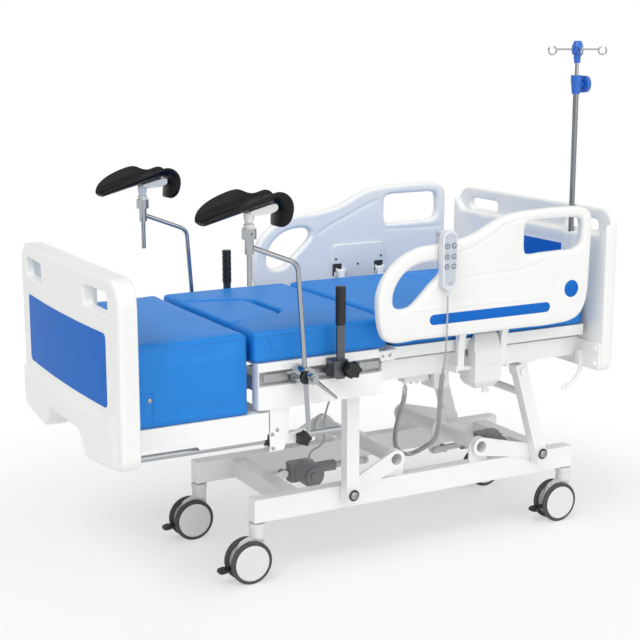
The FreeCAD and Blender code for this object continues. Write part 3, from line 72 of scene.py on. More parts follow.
# Sizes and colours that a user would change
class BedColours(bpy.types.PropertyGroup):
    cover: bpy.props.FloatVectorProperty(
        name="Cover vinyl", description="Blue vinyl of the cushions", size=4, min=0, max=1,
        subtype="COLOR", default=linear("#1d85dc"))
    inset: bpy.props.FloatVectorProperty(
        name="Inset", description="Blue insets of the boards and rails", size=4, min=0, max=1,
        subtype="COLOR", default=linear("#0c69c6"))
    steel: bpy.props.FloatVectorProperty(
        name="Painted steel", description="Powder coat of the frames", size=4, min=0, max=1,
        subtype="COLOR", default=linear("#f6f7f6"))
    moulding: bpy.props.FloatVectorProperty(
        name="Mouldings", description="White plastic of the boards and rails", size=4, min=0, max=1,
        subtype="COLOR", default=linear("#f3f4f1"))
    black: bpy.props.FloatVectorProperty(
        name="Black parts", description="Leg shells, grips and knobs", size=4, min=0, max=1,
        subtype="COLOR", default=linear("#0c0d0e"))
    floor: bpy.props.FloatVectorProperty(
        name="Floor", description="Studio floor", size=4, min=0, max=1,
        subtype="COLOR", default=linear("#f6f6f6"))


class BedSizes(bpy.types.PropertyGroup):
    crown: bpy.props.FloatProperty(
        name="Crown", description="How far a cushion swells over its foam", unit="LENGTH",
        default=3.5 * MM)
    voxel: bpy.props.FloatProperty(
        name="Cushion mesh", description="Point spacing of a cushion before smoothing",
        unit="LENGTH", default=10 * MM)
    seam_width: bpy.props.FloatProperty(
        name="Seam groove", description="Half width of the groove that a seam pulls",
        unit="LENGTH", default=4 * MM)
    seam_depth: bpy.props.FloatProperty(
        name="Seam depth", description="How deep a seam pulls the cover in", unit="LENGTH",
        default=1.4 * MM)
    welt: bpy.props.FloatProperty(
        name="Welt", description="Radius of the rolled seam allowance", unit="LENGTH",
        default=1.3 * MM)
    wire: bpy.props.FloatProperty(
        name="Curled wire", description="Radius of the wire in the curled lead", unit="LENGTH",
        default=2.4 * MM)
    curl_pitch: bpy.props.FloatProperty(
        name="Curl pitch", description="Distance from one curl to the next", unit="LENGTH",
        default=8 * MM)


# Materials
def add(tree, kind, inputs=None, **settings):
    """Adds a shader node; an input is a value, or a socket that is linked to it."""
    made = tree.nodes.new("ShaderNode" + kind)
    for name, value in settings.items():
        setattr(made, name, value)
    for name, value in (inputs or {}).items():
        if isinstance(value, bpy.types.NodeSocket):
            tree.links.new(value, made.inputs[name])
        else:
            made.inputs[name].default_value = value
    return made


def tinted(colour, share):
    return (*[c * share for c in colour[:3]], 1.0)


def empty_material(name):
    """New material with a cleared node tree."""
    made = bpy.data.materials.new(name)
    made.use_nodes = True
    made.node_tree.nodes.clear()
    return made, made.node_tree


def seen_rays(tree):
    """Light path node, and the share of rays that show a place straight, in a mirror or through glass."""
    path = add(tree, "LightPath")
    seen = add(tree, "Math", {0: path.outputs["Is Camera Ray"], 1: path.outputs["Is Glossy Ray"]},
               operation="MAXIMUM")
    seen = add(tree, "Math", {0: seen.outputs[0], 1: path.outputs["Is Transmission Ray"]},
               operation="MAXIMUM")
    return path, seen.outputs[0]


def surface(name, colour, rough, grain, relief, cloud=140, depth=0.94, spread=0.06, height=None,
            **shader):
    """Finish with a slow change of tone, a fine grain and uneven gloss.

    grain and cloud are real sizes in millimetres and relief is the grain's height in millimetres.
    height, if given, builds a relief of its own and returns its socket."""
    made, tree = empty_material(name)
    place = add(tree, "TexCoord").outputs["Object"]
    slow = add(tree, "TexNoise", {"Vector": place, "Scale": 1000 / cloud, "Detail": 3.0})
    fine = add(tree, "TexNoise", {"Vector": place, "Scale": 1000 / grain, "Detail": 4.0})
    tone = add(tree, "MixRGB", {"Fac": slow.outputs["Fac"], "Color1": tinted(colour, depth),
                                "Color2": colour})
    gloss = add(tree, "MapRange", {"Value": fine.outputs["Fac"], "From Min": 0.3, "From Max": 0.7,
                                   "To Min": rough - spread, "To Max": rough + spread})
    level = height(tree, place) if height else fine.outputs["Fac"]
    bump = add(tree, "Bump", {"Height": level, "Strength": 0.6, "Distance": relief * MM})
    values = {"Base Color": tone.outputs["Color"], "Roughness": gloss.outputs["Result"],
              "Normal": bump.outputs["Normal"]}
    values.update({key.replace("_", " "): value for key, value in shader.items()})
    shade = add(tree, "BsdfPrincipled", values)
    add(tree, "OutputMaterial", {"Surface": shade.outputs["BSDF"]})
    return made


def powder_coated_steel(colour):
    # Polyester powder coat: satin white with a faint orange peel about 2 mm across.
    return surface("powder_coated_steel", colour, 0.36, 2.2, 0.05, cloud=260, depth=0.975, IOR=1.5,
                   Coat_Weight=0.12, Coat_Roughness=0.2)


def blow_moulded_polyethylene(colour):
    # Blow-moulded polyethylene: milky, soft gloss, with the tool's fine spark texture.
    return surface("blow_moulded_polyethylene", colour, 0.4, 1.6, 0.05, cloud=320, depth=0.975, IOR=1.51,
                   Subsurface_Weight=0.04, Subsurface_Radius=(0.004, 0.004, 0.004))


def pale_abs_housing(colour):
    # Injection-moulded ABS of the rail casings: a little duller than the boards.
    return surface("pale_abs_housing", tinted(colour, 0.93), 0.46, 1.2, 0.05, depth=0.96, IOR=1.53)


def leather_grain(tree, place):
    """Pebbled vinyl grain, drawn at 2.4 mm because the real 1 mm grain is too fine to show."""
    cells = add(tree, "TexVoronoi", {"Vector": place, "Scale": 1000 / 2.4}, feature="SMOOTH_F1")
    folds = add(tree, "TexNoise", {"Vector": place, "Scale": 1000 / 55, "Detail": 2.0})
    blend = add(tree, "Math", {0: cells.outputs["Distance"], 1: 0.35}, operation="MULTIPLY")
    both = add(tree, "Math", {0: blend.outputs[0], 1: folds.outputs["Fac"]}, operation="ADD")
    return both.outputs[0]


def upholstery_vinyl(colour):
    # PVC-coated upholstery cloth: even blue, half dull from the pebble grain, slow puckers.
    return surface("upholstery_vinyl", colour, 0.48, 2.4, 0.3, cloud=180, depth=0.94, spread=0.05,
                   height=leather_grain, IOR=1.52, Specular_IOR_Level=0.3)


def vinyl_welt_painted_shade(colour):
    # The same vinyl rolled round a cord at the seams; its colour is darkened to 0.88 of the cover as
    # painted shade of its groove.
    return surface("vinyl_welt_painted_shade", tinted(colour, 0.88), 0.42, 1.0, 0.08, depth=0.92, IOR=1.52)


def painted_inset(colour):
    # Lacquered blue inset sheet: smoother and glossier than the vinyl.
    return surface("painted_inset", colour, 0.5, 1.4, 0.03, cloud=200, depth=0.95, IOR=1.5,
                   Specular_IOR_Level=0.15)


def drawn_lines(tree, place):
    """Fine polishing lines round a tube, 0.4 mm apart."""
    stretch = add(tree, "Mapping", {"Vector": place, "Scale": (60.0, 60.0, 2500.0)})
    return add(tree, "TexNoise", {"Vector": stretch.outputs["Vector"], "Scale": 1.0,
                                  "Detail": 2.0}).outputs["Fac"]


def chrome_plated_tube():
    # Bright chrome over drawn steel tube: mirror-like, with faint polishing lines.
    return surface("chrome_plated_tube", linear("#b2b5b9"), 0.12, 3.0, 0.02, depth=0.88, spread=0.04,
                   height=drawn_lines, Metallic=1.0)


def zinc_plated_steel():
    # Bright zinc on bolts, bars and brackets: pale grey metal, half dull.
    return surface("zinc_plated_steel", linear("#b4b6b8"), 0.34, 1.5, 0.04, cloud=25, depth=0.84,
                   Metallic=1.0)


def dark_chromate_steel():
    # Dark chromate on the grips' flat bars and clamps: gunmetal grey, half dull.
    return surface("dark_chromate_steel", linear("#6b6e72"), 0.36, 1.5, 0.04, cloud=25, depth=0.8,
                   Metallic=1.0)


def smoked_chrome_tube():
    # Drip pole tube: drawn stainless, a darker mirror than the chrome of the leg holders.
    return surface("smoked_chrome_tube", linear("#8f9296"), 0.2, 3.0, 0.02, depth=0.86, spread=0.05,
                   height=drawn_lines, Metallic=1.0)


def anodised_aluminium():
    # Natural anodised tube of the drives: even, silky grey metal.
    return surface("anodised_aluminium", linear("#c9cbcd"), 0.38, 0.8, 0.02, depth=0.94, height=drawn_lines,
                   Metallic=1.0)


def black_nylon(colour):
    # Glass-filled nylon of knobs, grips and pedals: near black, with a sandy mould grain.
    return surface("black_nylon", tinted(colour, 1.8), 0.42, 0.9, 0.12, cloud=40, depth=0.8, IOR=1.53)


def integral_skin_foam(colour):
    # Self-skinned polyurethane foam of the leg shells: black leather grain with a soft shine.
    return surface("integral_skin_foam", colour, 0.36, 1.6, 0.2, cloud=60, depth=0.75, height=leather_grain,
                   IOR=1.5, Specular_IOR_Level=0.28)


def grey_thermoplastic_rubber():
    # Castor tread: dull dark grey rubber with scuffs a few millimetres across.
    return surface("grey_thermoplastic_rubber", linear("#4b4c4f"), 0.72, 4.0, 0.12, cloud=30, depth=0.82,
                   IOR=1.52)


def polypropylene_hub():
    # Castor wheel covers and stems: plain pale polypropylene, satin.
    return surface("polypropylene_hub", linear("#e6e7e8"), 0.42, 1.4, 0.05, depth=0.95, IOR=1.49)


def grey_motor_housing():
    # Moulded nylon case of the drive motor: pale mid grey, fine spark texture.
    return surface("grey_motor_housing", linear("#8e9093"), 0.5, 1.0, 0.1, cloud=60, depth=0.88, IOR=1.53)


def handset_shell():
    # Handset case: cool pale grey ABS.
    return surface("handset_shell", linear("#dfe3e8"), 0.42, 1.0, 0.05, cloud=60, depth=0.96, IOR=1.53)


def keypad_film():
    # Polyester film over the keys: smooth, a shade deeper than the case.
    return surface("keypad_film", linear("#c3cbd6"), 0.34, 1.2, 0.02, cloud=50, depth=0.96, IOR=1.57)


def printed_key():
    # Dark grey ink printed under the film.
    return surface("printed_key", linear("#3a4250"), 0.36, 1.0, 0.02, cloud=20, depth=0.88, IOR=1.57)


def grey_cable():
    # Flexible PVC cable jacket: mid grey with a faint handling mottle.
    return surface("grey_cable", linear("#b3b5b7"), 0.5, 3.0, 0.05, cloud=30, depth=0.86, IOR=1.53)


def blue_polypropylene():
    # Moulded hub and clamp knob of the drip pole.
    return surface("blue_polypropylene", linear("#2f6fd0"), 0.38, 1.2, 0.05, cloud=30, depth=0.86, IOR=1.49)


def shadow_rubber():
    # Black rubber washers and bushes, and also the painted shade of slots: dark sheets laid where a slot's
    # depth would be in shade.
    return surface("shadow_rubber", linear("#2a2b2d"), 0.62, 1.5, 0.08, cloud=15, depth=0.8, IOR=1.52)


# Mesh helpers
def put(obj, body, replaces=()):
    """Links a finished piece and lets it ride on its body."""
    if obj.name not in bpy.context.scene.collection.objects:
        bpy.context.scene.collection.objects.link(obj)
    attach(obj, body)
    if replaces:
        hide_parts(*replaces)
    return obj


def from_bmesh(name, mesh, material, smooth=True):
    bmesh.ops.remove_doubles(mesh, verts=mesh.verts, dist=1e-6)
    bmesh.ops.recalc_face_normals(mesh, faces=mesh.faces)
    data = bpy.data.meshes.new(name)
    mesh.to_mesh(data)
    mesh.free()
    data.materials.append(material)
    if smooth:
        data.polygons.foreach_set("use_smooth", [True] * len(data.polygons))
        data.set_sharp_from_angle(angle=math.radians(40))
    return bpy.data.objects.new(name, data)


def rounded(corners, steps=8):
    """Points of a closed outline through (a, b, radius) corners, each rounded by an arc."""
    points = []
    count = len(corners)
    for i, (a, b, radius) in enumerate(corners):
        here = Vector((a, b))
        back = (Vector(corners[i - 1][:2]) - here).normalized()
        on = (Vector(corners[(i + 1) % count][:2]) - here).normalized()
        if radius <= 0:
            points.append(here)
            continue
        half = back.angle(on) / 2
        centre = here + (back + on).normalized() * (radius / math.sin(half))
        first = here + back * (radius / math.tan(half)) - centre
        last = here + on * (radius / math.tan(half)) - centre
        sweep = first.angle_signed(last)
        for step in range(steps + 1):
            spin = Matrix.Rotation(-sweep * step / steps, 2)
            points.append(centre + spin @ first)
    return points


def rectangle(left, low, right, high, radius, steps=8):
    """Outline of a rectangle with rounded corners, from its lower left one."""
    return rounded([(left, low, radius), (right, low, radius), (right, high, radius), (left, high, radius)],
                   steps)


def plate(name, points, place, thick, material, edge=0.0):
    """Flat plate on the outline's points; place lifts (a, b, level) into space."""
    mesh = bmesh.new()
    lower = mesh.faces.new([mesh.verts.new(place(a, b, 0)) for a, b in points])
    raised = bmesh.ops.extrude_face_region(mesh, geom=[lower])
    top = [v for v in raised["geom"] if isinstance(v, bmesh.types.BMVert)]
    shift = place(0, 0, thick) - place(0, 0, 0)
    bmesh.ops.translate(mesh, verts=top, vec=shift)
    if edge:
        rim = [e for e in mesh.edges if all(v in top for v in e.verts)]
        bmesh.ops.bevel(mesh, geom=rim, offset=edge, segments=2, affect="EDGES", profile=0.6)
    return from_bmesh(name, mesh, material)


def on_near_face(y, side=-1):
    """Places outline points (x, z) in millimetres on a plane of constant y, rising outward."""
    return lambda x, z, level: Vector((x, side * (y + level), z)) * MM


def lathe(name, profile, place, material, steps=32):
    """Turned piece: profile is (radius, height) in millimetres about the local Z axis."""
    mesh = bmesh.new()
    rings = []
    for radius, height in profile:
        if radius < 1e-6:
            rings.append([mesh.verts.new(place @ Vector((0, 0, height * MM)))])
            continue
        ring = []
        for step in range(steps):
            angle = 2 * math.pi * step / steps
            spot = Vector((radius * math.cos(angle), radius * math.sin(angle), height)) * MM
            ring.append(mesh.verts.new(place @ spot))
        rings.append(ring)
    for low, high in zip(rings, rings[1:]):
        for step in range(steps):
            after = (step + 1) % steps
            if len(low) == 1:
                mesh.faces.new((low[0], high[after], high[step]))
            elif len(high) == 1:
                mesh.faces.new((low[step], low[after], high[0]))
            else:
                mesh.faces.new((low[step], low[after], high[after], high[step]))
    for end in (rings[0], rings[-1]):
        if len(end) > 1:
            mesh.faces.new(end)
    return from_bmesh(name, mesh, material)


def facing(x, y, z, toward):
    """Matrix that stands a turned piece at a point in millimetres with its axis along toward."""
    turn = Vector((0, 0, 1)).rotation_difference(Vector(toward)).to_matrix().to_4x4()
    return Matrix.Translation(Vector((x, y, z)) * MM) @ turn


def skin(data, material):
    """Gives a mesh one finish and smooth shading."""
    data.materials.clear()
    data.materials.append(material)
    data.polygons.foreach_set("use_smooth", [True] * len(data.polygons))


def tube(name, points, radius, kind="POLY", roundness=2):
    """Curve of a round tube through points in metres."""
    curve = bpy.data.curves.new(name, "CURVE")
    curve.dimensions = "3D"
    spline = curve.splines.new(kind)
    spline.points.add(len(points) - 1)
    for spot, point in zip(spline.points, points):
        spot.co = (*point, 1.0)
    curve.bevel_depth = radius
    curve.bevel_resolution = roundness
    curve.use_fill_caps = True
    return bpy.data.objects.new(name, curve)


def bead(name, points, radius, material):
    """Thin round bead along points, as a mesh."""
    line = tube(name + "_line", points, radius)
    curve = line.data
    data = bpy.data.meshes.new_from_object(line)
    data.name = name
    bpy.data.objects.remove(line)
    bpy.data.curves.remove(curve)
    skin(data, material)
    return bpy.data.objects.new(name, data)


def join(name, parts):
    """One mesh object out of several, keeping each one's materials."""
    mesh = bmesh.new()
    materials = []
    for part in parts:
        offset = []
        for material in part.data.materials:
            if material not in materials:
                materials.append(material)
            offset.append(materials.index(material))
        count = len(mesh.faces)
        mesh.from_mesh(part.data)
        mesh.faces.ensure_lookup_table()
        for face in mesh.faces[count:]:
            face.material_index = offset[min(face.material_index, len(offset) - 1)]
        bpy.data.objects.remove(part)
    data = bpy.data.meshes.new(name)
    mesh.to_mesh(data)
    mesh.free()
    for material in materials:
        data.materials.append(material)
    return bpy.data.objects.new(name, data)


def dress(node, *finishes):
    """Gives a CAD node its finishes; each after the first has a test of a face's middle, in mm."""
    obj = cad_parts[node]
    data = obj.data
    data.materials.clear()
    tests = []
    for item in finishes:
        if isinstance(item, tuple):
            data.materials.append(item[0])
            tests.append(item[1])
        else:
            data.materials.append(item)
    first = len(finishes) - len(tests)
    for face in data.polygons:
        middle = face.center / MM
        index = 0
        for count, test in enumerate(tests):
            if test(middle):
                index = first + count
        face.material_index = index


def cast(name, loops, low, thick, radius):
    """Slab in the x, z plane from y = low, of a smooth outline and its openings, with round rims."""
    curve = bpy.data.curves.new(name + "_line", "CURVE")
    curve.dimensions = "2D"
    curve.fill_mode = "BOTH"
    curve.resolution_u = 8
    curve.extrude = (thick / 2 - radius) * MM
    curve.bevel_depth = radius * MM
    curve.bevel_resolution = 4
    curve.offset = -radius * MM
    for loop in loops:
        spline = curve.splines.new("BEZIER")
        spline.bezier_points.add(len(loop) - 1)
        for spot, (x, z) in zip(spline.bezier_points, loop):
            spot.co = (x * MM, z * MM, 0)
            spot.handle_left_type = spot.handle_right_type = "AUTO"
        spline.use_cyclic_u = True
    line = bpy.data.objects.new(name + "_line", curve)
    data = bpy.data.meshes.new_from_object(line)
    bpy.data.objects.remove(line)
    upright = Matrix.Rotation(math.pi / 2, 4, "X")
    data.transform(Matrix.Translation((0, (low + thick / 2) * MM, 0)) @ upright)
    return bpy.data.objects.new(name, data)


def moulded(body, voxel, rounds, material, cuts=()):
    """Turns a body into one even skin with softly rounded edges; cuts are (low, high) boxes in mm."""
    bpy.context.scene.collection.objects.link(body)
    cutters = []
    for low, high in cuts:
        mesh = bmesh.new()
        bmesh.ops.create_cube(mesh, size=1.0)
        middle, size = (Vector(low) + Vector(high)) / 2 * MM, (Vector(high) - Vector(low)) * MM
        bmesh.ops.transform(mesh, verts=mesh.verts, matrix=Matrix.LocRotScale(middle, None, size))
        cutter = from_bmesh(body.name + "_cutter", mesh, material, smooth=False)
        bpy.context.scene.collection.objects.link(cutter)
        cut = body.modifiers.new("cut", "BOOLEAN")
        cut.operation = "DIFFERENCE"
        cut.object = cutter
        cutters.append(cutter)
    remesh = body.modifiers.new("remesh", "REMESH")
    remesh.mode = "VOXEL"
    remesh.voxel_size = voxel * MM
    soft = body.modifiers.new("soft", "SMOOTH")
    soft.factor = 0.5
    soft.iterations = rounds
    settle(body)
    for cutter in cutters:
        bpy.data.objects.remove(cutter)
    skin(body.data, material)
    return body


def box_mm(node):
    low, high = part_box(node)
    return low / MM, high / MM


finishes = {}


def make_finishes(colours):
    cover, white, black = tuple(colours.cover), tuple(colours.moulding), tuple(colours.black)
    finishes.update(
        steel=powder_coated_steel(tuple(colours.steel)), moulding=blow_moulded_polyethylene(white),
        casing=pale_abs_housing(white), vinyl=upholstery_vinyl(cover), welt=vinyl_welt_painted_shade(cover),
        inset=painted_inset(tuple(colours.inset)), chrome=chrome_plated_tube(), zinc=zinc_plated_steel(),
        aluminium=anodised_aluminium(), nylon=black_nylon(black), skin_foam=integral_skin_foam(black),
        tread=grey_thermoplastic_rubber(), hub=polypropylene_hub(), motor=grey_motor_housing(),
        shell=handset_shell(), film=keypad_film(), ink=printed_key(), cable=grey_cable(),
        blue=blue_polypropylene(), rubber=shadow_rubber(), gunmetal=dark_chromate_steel(),
        pole=smoked_chrome_tube())


# Leads: the control points of each lead's line, in metres
HANDSET_LEAD = [(0.210, -0.500, 0.970), (0.210, -0.500, 0.925), (0.212, -0.497, 0.868),
                (0.216, -0.488, 0.815), (0.225, -0.471, 0.765), (0.234, -0.449, 0.725),
                (0.242, -0.430, 0.690)]
CURLED_LEAD = [(0.2421, -0.4298, 0.6895), (0.2532, -0.406, 0.641), (0.264, -0.384, 0.580),
               (0.280, -0.358, 0.515), (0.300, -0.324, 0.452), (0.312, -0.280, 0.402),
               (0.318, -0.228, 0.372), (0.312, -0.182, 0.340), (0.290, -0.146, 0.318),
               (0.262, -0.130, 0.326), (0.236, -0.140, 0.362), (0.218, -0.168, 0.412),
               (0.204, -0.204, 0.466), (0.190, -0.246, 0.520), (0.178, -0.286, 0.566),
               (0.176, -0.296, 0.598), (0.176, -0.296, 0.6275)]
MOTOR_LEAD = [(0.002, -0.130, 0.674), (0.0, -0.130, 0.640), (-0.014, -0.128, 0.590),
              (-0.034, -0.122, 0.540), (-0.042, -0.114, 0.490), (-0.038, -0.108, 0.444),
              (-0.036, -0.100, 0.406), (-0.046, -0.084, 0.380), (-0.066, -0.066, 0.366),
              (-0.074, -0.058, 0.346), (-0.074, -0.058, 0.3233)]


def lead_line(name, points, radius):
    """Smooth line of a lead through its control points."""
    line = tube(name, points, radius, "NURBS", 5)
    spline = line.data.splines[0]
    spline.order_u = 3
    spline.use_endpoint_u = True
    line.data.resolution_u = 16
    return line


def line_points(points):
    """Points read along the lead's smooth line."""
    line = lead_line("lead_path", points, 0.0)
    line.data.use_fill_caps = False
    data = bpy.data.meshes.new_from_object(line)
    read = [v.co.copy() for v in data.vertices]
    bpy.data.meshes.remove(data)
    bpy.data.objects.remove(line)
    return read


def length_of(points):
    return sum((b - a).length for a, b in zip(points, points[1:]))


def curl_along(path, radius, pitch):
    """Helix of the curled lead round its path, opening out of and closing into the path's ends."""
    total = length_of(path)
    turns = round(total / pitch)
    per_turn = 14
    count = turns * per_turn
    helix = []
    index = 0
    passed = 0.0
    tangent = (path[1] - path[0]).normalized()
    side = tangent.orthogonal().normalized()
    for step in range(count + 1):
        along = total * step / count
        while index < len(path) - 2 and passed + (path[index + 1] - path[index]).length < along:
            passed += (path[index + 1] - path[index]).length
            index += 1
        run = path[index + 1] - path[index]
        way = run.normalized()
        side = (side - way * side.dot(way)).normalized()
        across = way.cross(side)
        angle = 2 * math.pi * step / per_turn
        taper = min(1.0, step / per_turn, (count - step) / per_turn)
        spot = path[index] + way * (along - passed)
        helix.append(spot + (side * math.cos(angle) + across * math.sin(angle)) * radius * taper)
    return helix


class BED_OT_stage(bpy.types.Operator):
    """Camera, floor, background and studio lights"""
    bl_idname = "bed.add_stage"
    bl_label = "Stage"

    def execute(self, context):
        scene = context.scene
        scene.view_settings.view_transform = "Standard"
        make_finishes(scene.bed_colours)
        self.camera(scene)
        self.floor(scene)
        self.background(scene)
        self.lights(scene)
        return {"FINISHED"}

    def camera(self, scene):
        lens = bpy.data.cameras.new("camera")
        lens.lens = 77.94
        lens.sensor_width = 36.0
        lens.clip_end = 100.0
        camera = bpy.data.objects.new("camera", lens)
        camera.location = (-2.31774, -4.24096, 1.81497)
        camera.rotation_euler = (math.radians(90 - 11.622), 0, -math.radians(28.686))
        scene.collection.objects.link(camera)
        scene.camera = camera

    def floor(self, scene):
        half = 25.0
        mesh = bmesh.new()
        corners = ((-half, -half), (half, -half), (half, half), (-half, half))
        mesh.faces.new([mesh.verts.new((x, y, 0)) for x, y in corners])
        # Matt white studio floor that takes the shadow and runs out into plain white.
        made, tree = empty_material("studio_floor")
        place = add(tree, "TexCoord").outputs["Object"]
        away = add(tree, "VectorMath", {0: place}, operation="LENGTH")
        fade = add(tree, "MapRange", {"Value": away.outputs["Value"], "From Min": 0.9, "From Max": 2.2,
                                      "To Min": 0.5}, interpolation_type="SMOOTHSTEP")
        tone = add(tree, "TexNoise", {"Vector": place, "Scale": 0.8, "Detail": 2.0})
        paint = add(tree, "MixRGB", {"Fac": tone.outputs["Fac"], "Color1": tuple(scene.bed_colours.floor),
                                     "Color2": tinted(scene.bed_colours.floor, 0.985)})
        matt = add(tree, "BsdfDiffuse", {"Color": paint.outputs["Color"]})
        white = add(tree, "Emission", {"Color": (1, 1, 1, 1), "Strength": 1.0})
        seen = seen_rays(tree)[1]
        share = add(tree, "Math", {0: seen, 1: fade.outputs["Result"]}, operation="MULTIPLY")
        mix = add(tree, "MixShader", {0: share.outputs[0], 1: matt.outputs[0], 2: white.outputs[0]})
        add(tree, "OutputMaterial", {"Surface": mix.outputs[0]})
        floor = from_bmesh("floor", mesh, made, smooth=False)
        scene.collection.objects.link(floor)

    def background(self, scene):
        world = bpy.data.worlds.new("studio")
        world.use_nodes = True
        tree = world.node_tree
        tree.nodes.clear()
        path, seen = seen_rays(tree)
        level = add(tree, "MapRange", {"Value": seen, "To Min": 0.36, "To Max": 1.0})
        # Mirrored surfaces see soft boxes with dark gaps between them, as in a photo studio.
        around = add(tree, "TexCoord").outputs["Generated"]
        boxes = add(tree, "TexNoise", {"Vector": around, "Scale": 4.0, "Detail": 0.0})
        gaps = add(tree, "MapRange", {"Value": boxes.outputs["Fac"], "From Min": 0.45, "From Max": 0.55,
                                      "To Min": 0.03, "To Max": 1.1})
        mirrored = add(tree, "MixRGB", {"Fac": path.outputs["Is Glossy Ray"], "Color1": (1, 1, 1, 1),
                                        "Color2": gaps.outputs["Result"]})
        sky = add(tree, "Background", {"Color": mirrored.outputs["Color"],
                                       "Strength": level.outputs["Result"]})
        add(tree, "OutputWorld", {"Surface": sky.outputs[0]})
        scene.world = world

    def lights(self, scene):
        for name, strength, spread, tilt, turn in (("key", 1.45, 30, 38, -62), ("top", 0.25, 70, 12, 40),
                                                   ("fill", 1.2, 70, 68, 8)):
            sun = bpy.data.lights.new(name, "SUN")
            sun.energy = strength
            sun.angle = math.radians(spread)
            lamp = bpy.data.objects.new(name, sun)
            lamp.rotation_euler = (math.radians(tilt), 0, math.radians(turn))
            scene.collection.objects.link(lamp)


class BED_OT_leads(bpy.types.Operator):
    """Handset lead, its curled stretch and the lead of the foot drive"""
    bl_idname = "bed.add_leads"
    bl_label = "Leads"

    def execute(self, context):
        sizes = context.scene.bed_sizes
        straight = lead_line("handset_lead", HANDSET_LEAD, 3 * MM)
        straight.data.materials.append(finishes["cable"])
        put(straight, "side_rail_near", ["handset_cord"])
        end = [c / MM for c in HANDSET_LEAD[-1]]
        sleeve = lathe("lead_sleeve", [(0, 0), (3.4, 0), (4.6, 3), (4.6, 20), (3.6, 26), (0, 26)],
                       facing(*end, (-0.2, -0.46, 0.87)), finishes["cable"], 16)
        put(sleeve, "side_rail_near")
        length_of(line_points(HANDSET_LEAD))
        path = line_points(CURLED_LEAD)
        helix = curl_along(path, 9 * MM - sizes.wire, sizes.curl_pitch)
        curled = tube("handset_curled_lead", helix, sizes.wire)
        curled.data.materials.append(finishes["cable"])
        put(curled, "top_frame", ["handset_curl"])
        motor = lead_line("drive_lead", MOTOR_LEAD, 3.5 * MM)
        motor.data.materials.append(finishes["cable"])
        put(motor, "foot_lift_motor", ["foot_motor_lead"])
        length_of(line_points(MOTOR_LEAD))
        return {"FINISHED"}


# Rivets of a hanger plate, as (x, z) in millimetres
RIVETS = [(-366, 564), (-384, 551), (-382, 504)]


class BED_OT_frames(bpy.types.Operator):
    """Finishes of the painted frames, the lift linkage and its bolts"""
    bl_idname = "bed.finish_frames"
    bl_label = "Frames and lift linkage"

    def execute(self, context):
        steel, zinc, rubber, chrome = (finishes[k] for k in ("steel", "zinc", "rubber", "chrome"))
        dress("base_frame", steel)
        bar_z, bar_half = 737, 14
        rod_y, rod_z = 362, 527
        dress("main_frame", steel,
              (zinc, lambda p: abs(p.z - bar_z) < bar_half and 370 < abs(p.y) < 379.5 and -412 < p.x < 24),
              (zinc, lambda p: abs(p.y) > 394.5 and min(abs(p.x - 26), abs(p.x - 52)) < 5 and p.z > 740),
              (rubber, lambda p: p.x < -391.5 and abs(abs(p.y) - rod_y) < 18 and abs(p.z - rod_z) < 18))
        for node in ("foot_crank", "head_crank", "head_legs", "back_deck"):
            dress(node, steel)
        dress("foot_frame", steel,
              (chrome, lambda p: math.hypot(abs(p.y) - rod_y, p.z - rod_z) < 11.6 and p.x > -869))
        self.bolt_caps()
        self.rivets()
        return {"FINISHED"}

    def rivets(self):
        """Rivets on the hanger plates, set on whatever face of the frame lies there."""
        plate_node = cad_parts["main_frame"]
        profile = [(0, -0.5), (6.5, -0.5), (6.5, 1), (5.2, 2.6), (2.2, 3.2), (2, 2), (0, 2)]
        beside = 0.7
        parts = []
        for side in (-1, 1):
            for x, z in RIVETS:
                start = Vector((x * MM, side * beside, z * MM))
                found, spot, _, _ = plate_node.ray_cast(start, Vector((0, -side, 0)))
                if found:
                    place = facing(x, spot.y / MM, z, (0, side, 0))
                    parts.append(lathe("rivet", profile, place, finishes["zinc"], 20))
        put(join("hanger_rivets", parts), "top_frame")

    def bolt_caps(self):
        """Washer and domed socket screw over each pivot bolt."""
        for side, end in ((-1, "near"), (1, "far")):
            for body, name, x, z in (("foot_crank", "foot_bolt_", -41, 269),
                                     ("head_legs", "head_bolt_", 764, 299)):
                outer = box_mm(body)[1].y
                put(self.screw(name + end, x, side * outer, z, side), body)

    def screw(self, name, x, y, z, side):
        place = facing(x, y, z, (0, side, 0))
        washer = lathe(name + "_washer", [(0, -1), (19, -1), (20, 0), (19, 1.4), (0, 1.4)], place,
                       finishes["rubber"])
        profile = [(0, 1), (13.5, 1), (14, 3), (12.5, 6), (8, 7.6), (7.2, 7.6), (7, 4), (0, 4)]
        head = lathe(name + "_head", profile, place, finishes["zinc"])
        return join(name, [washer, head])


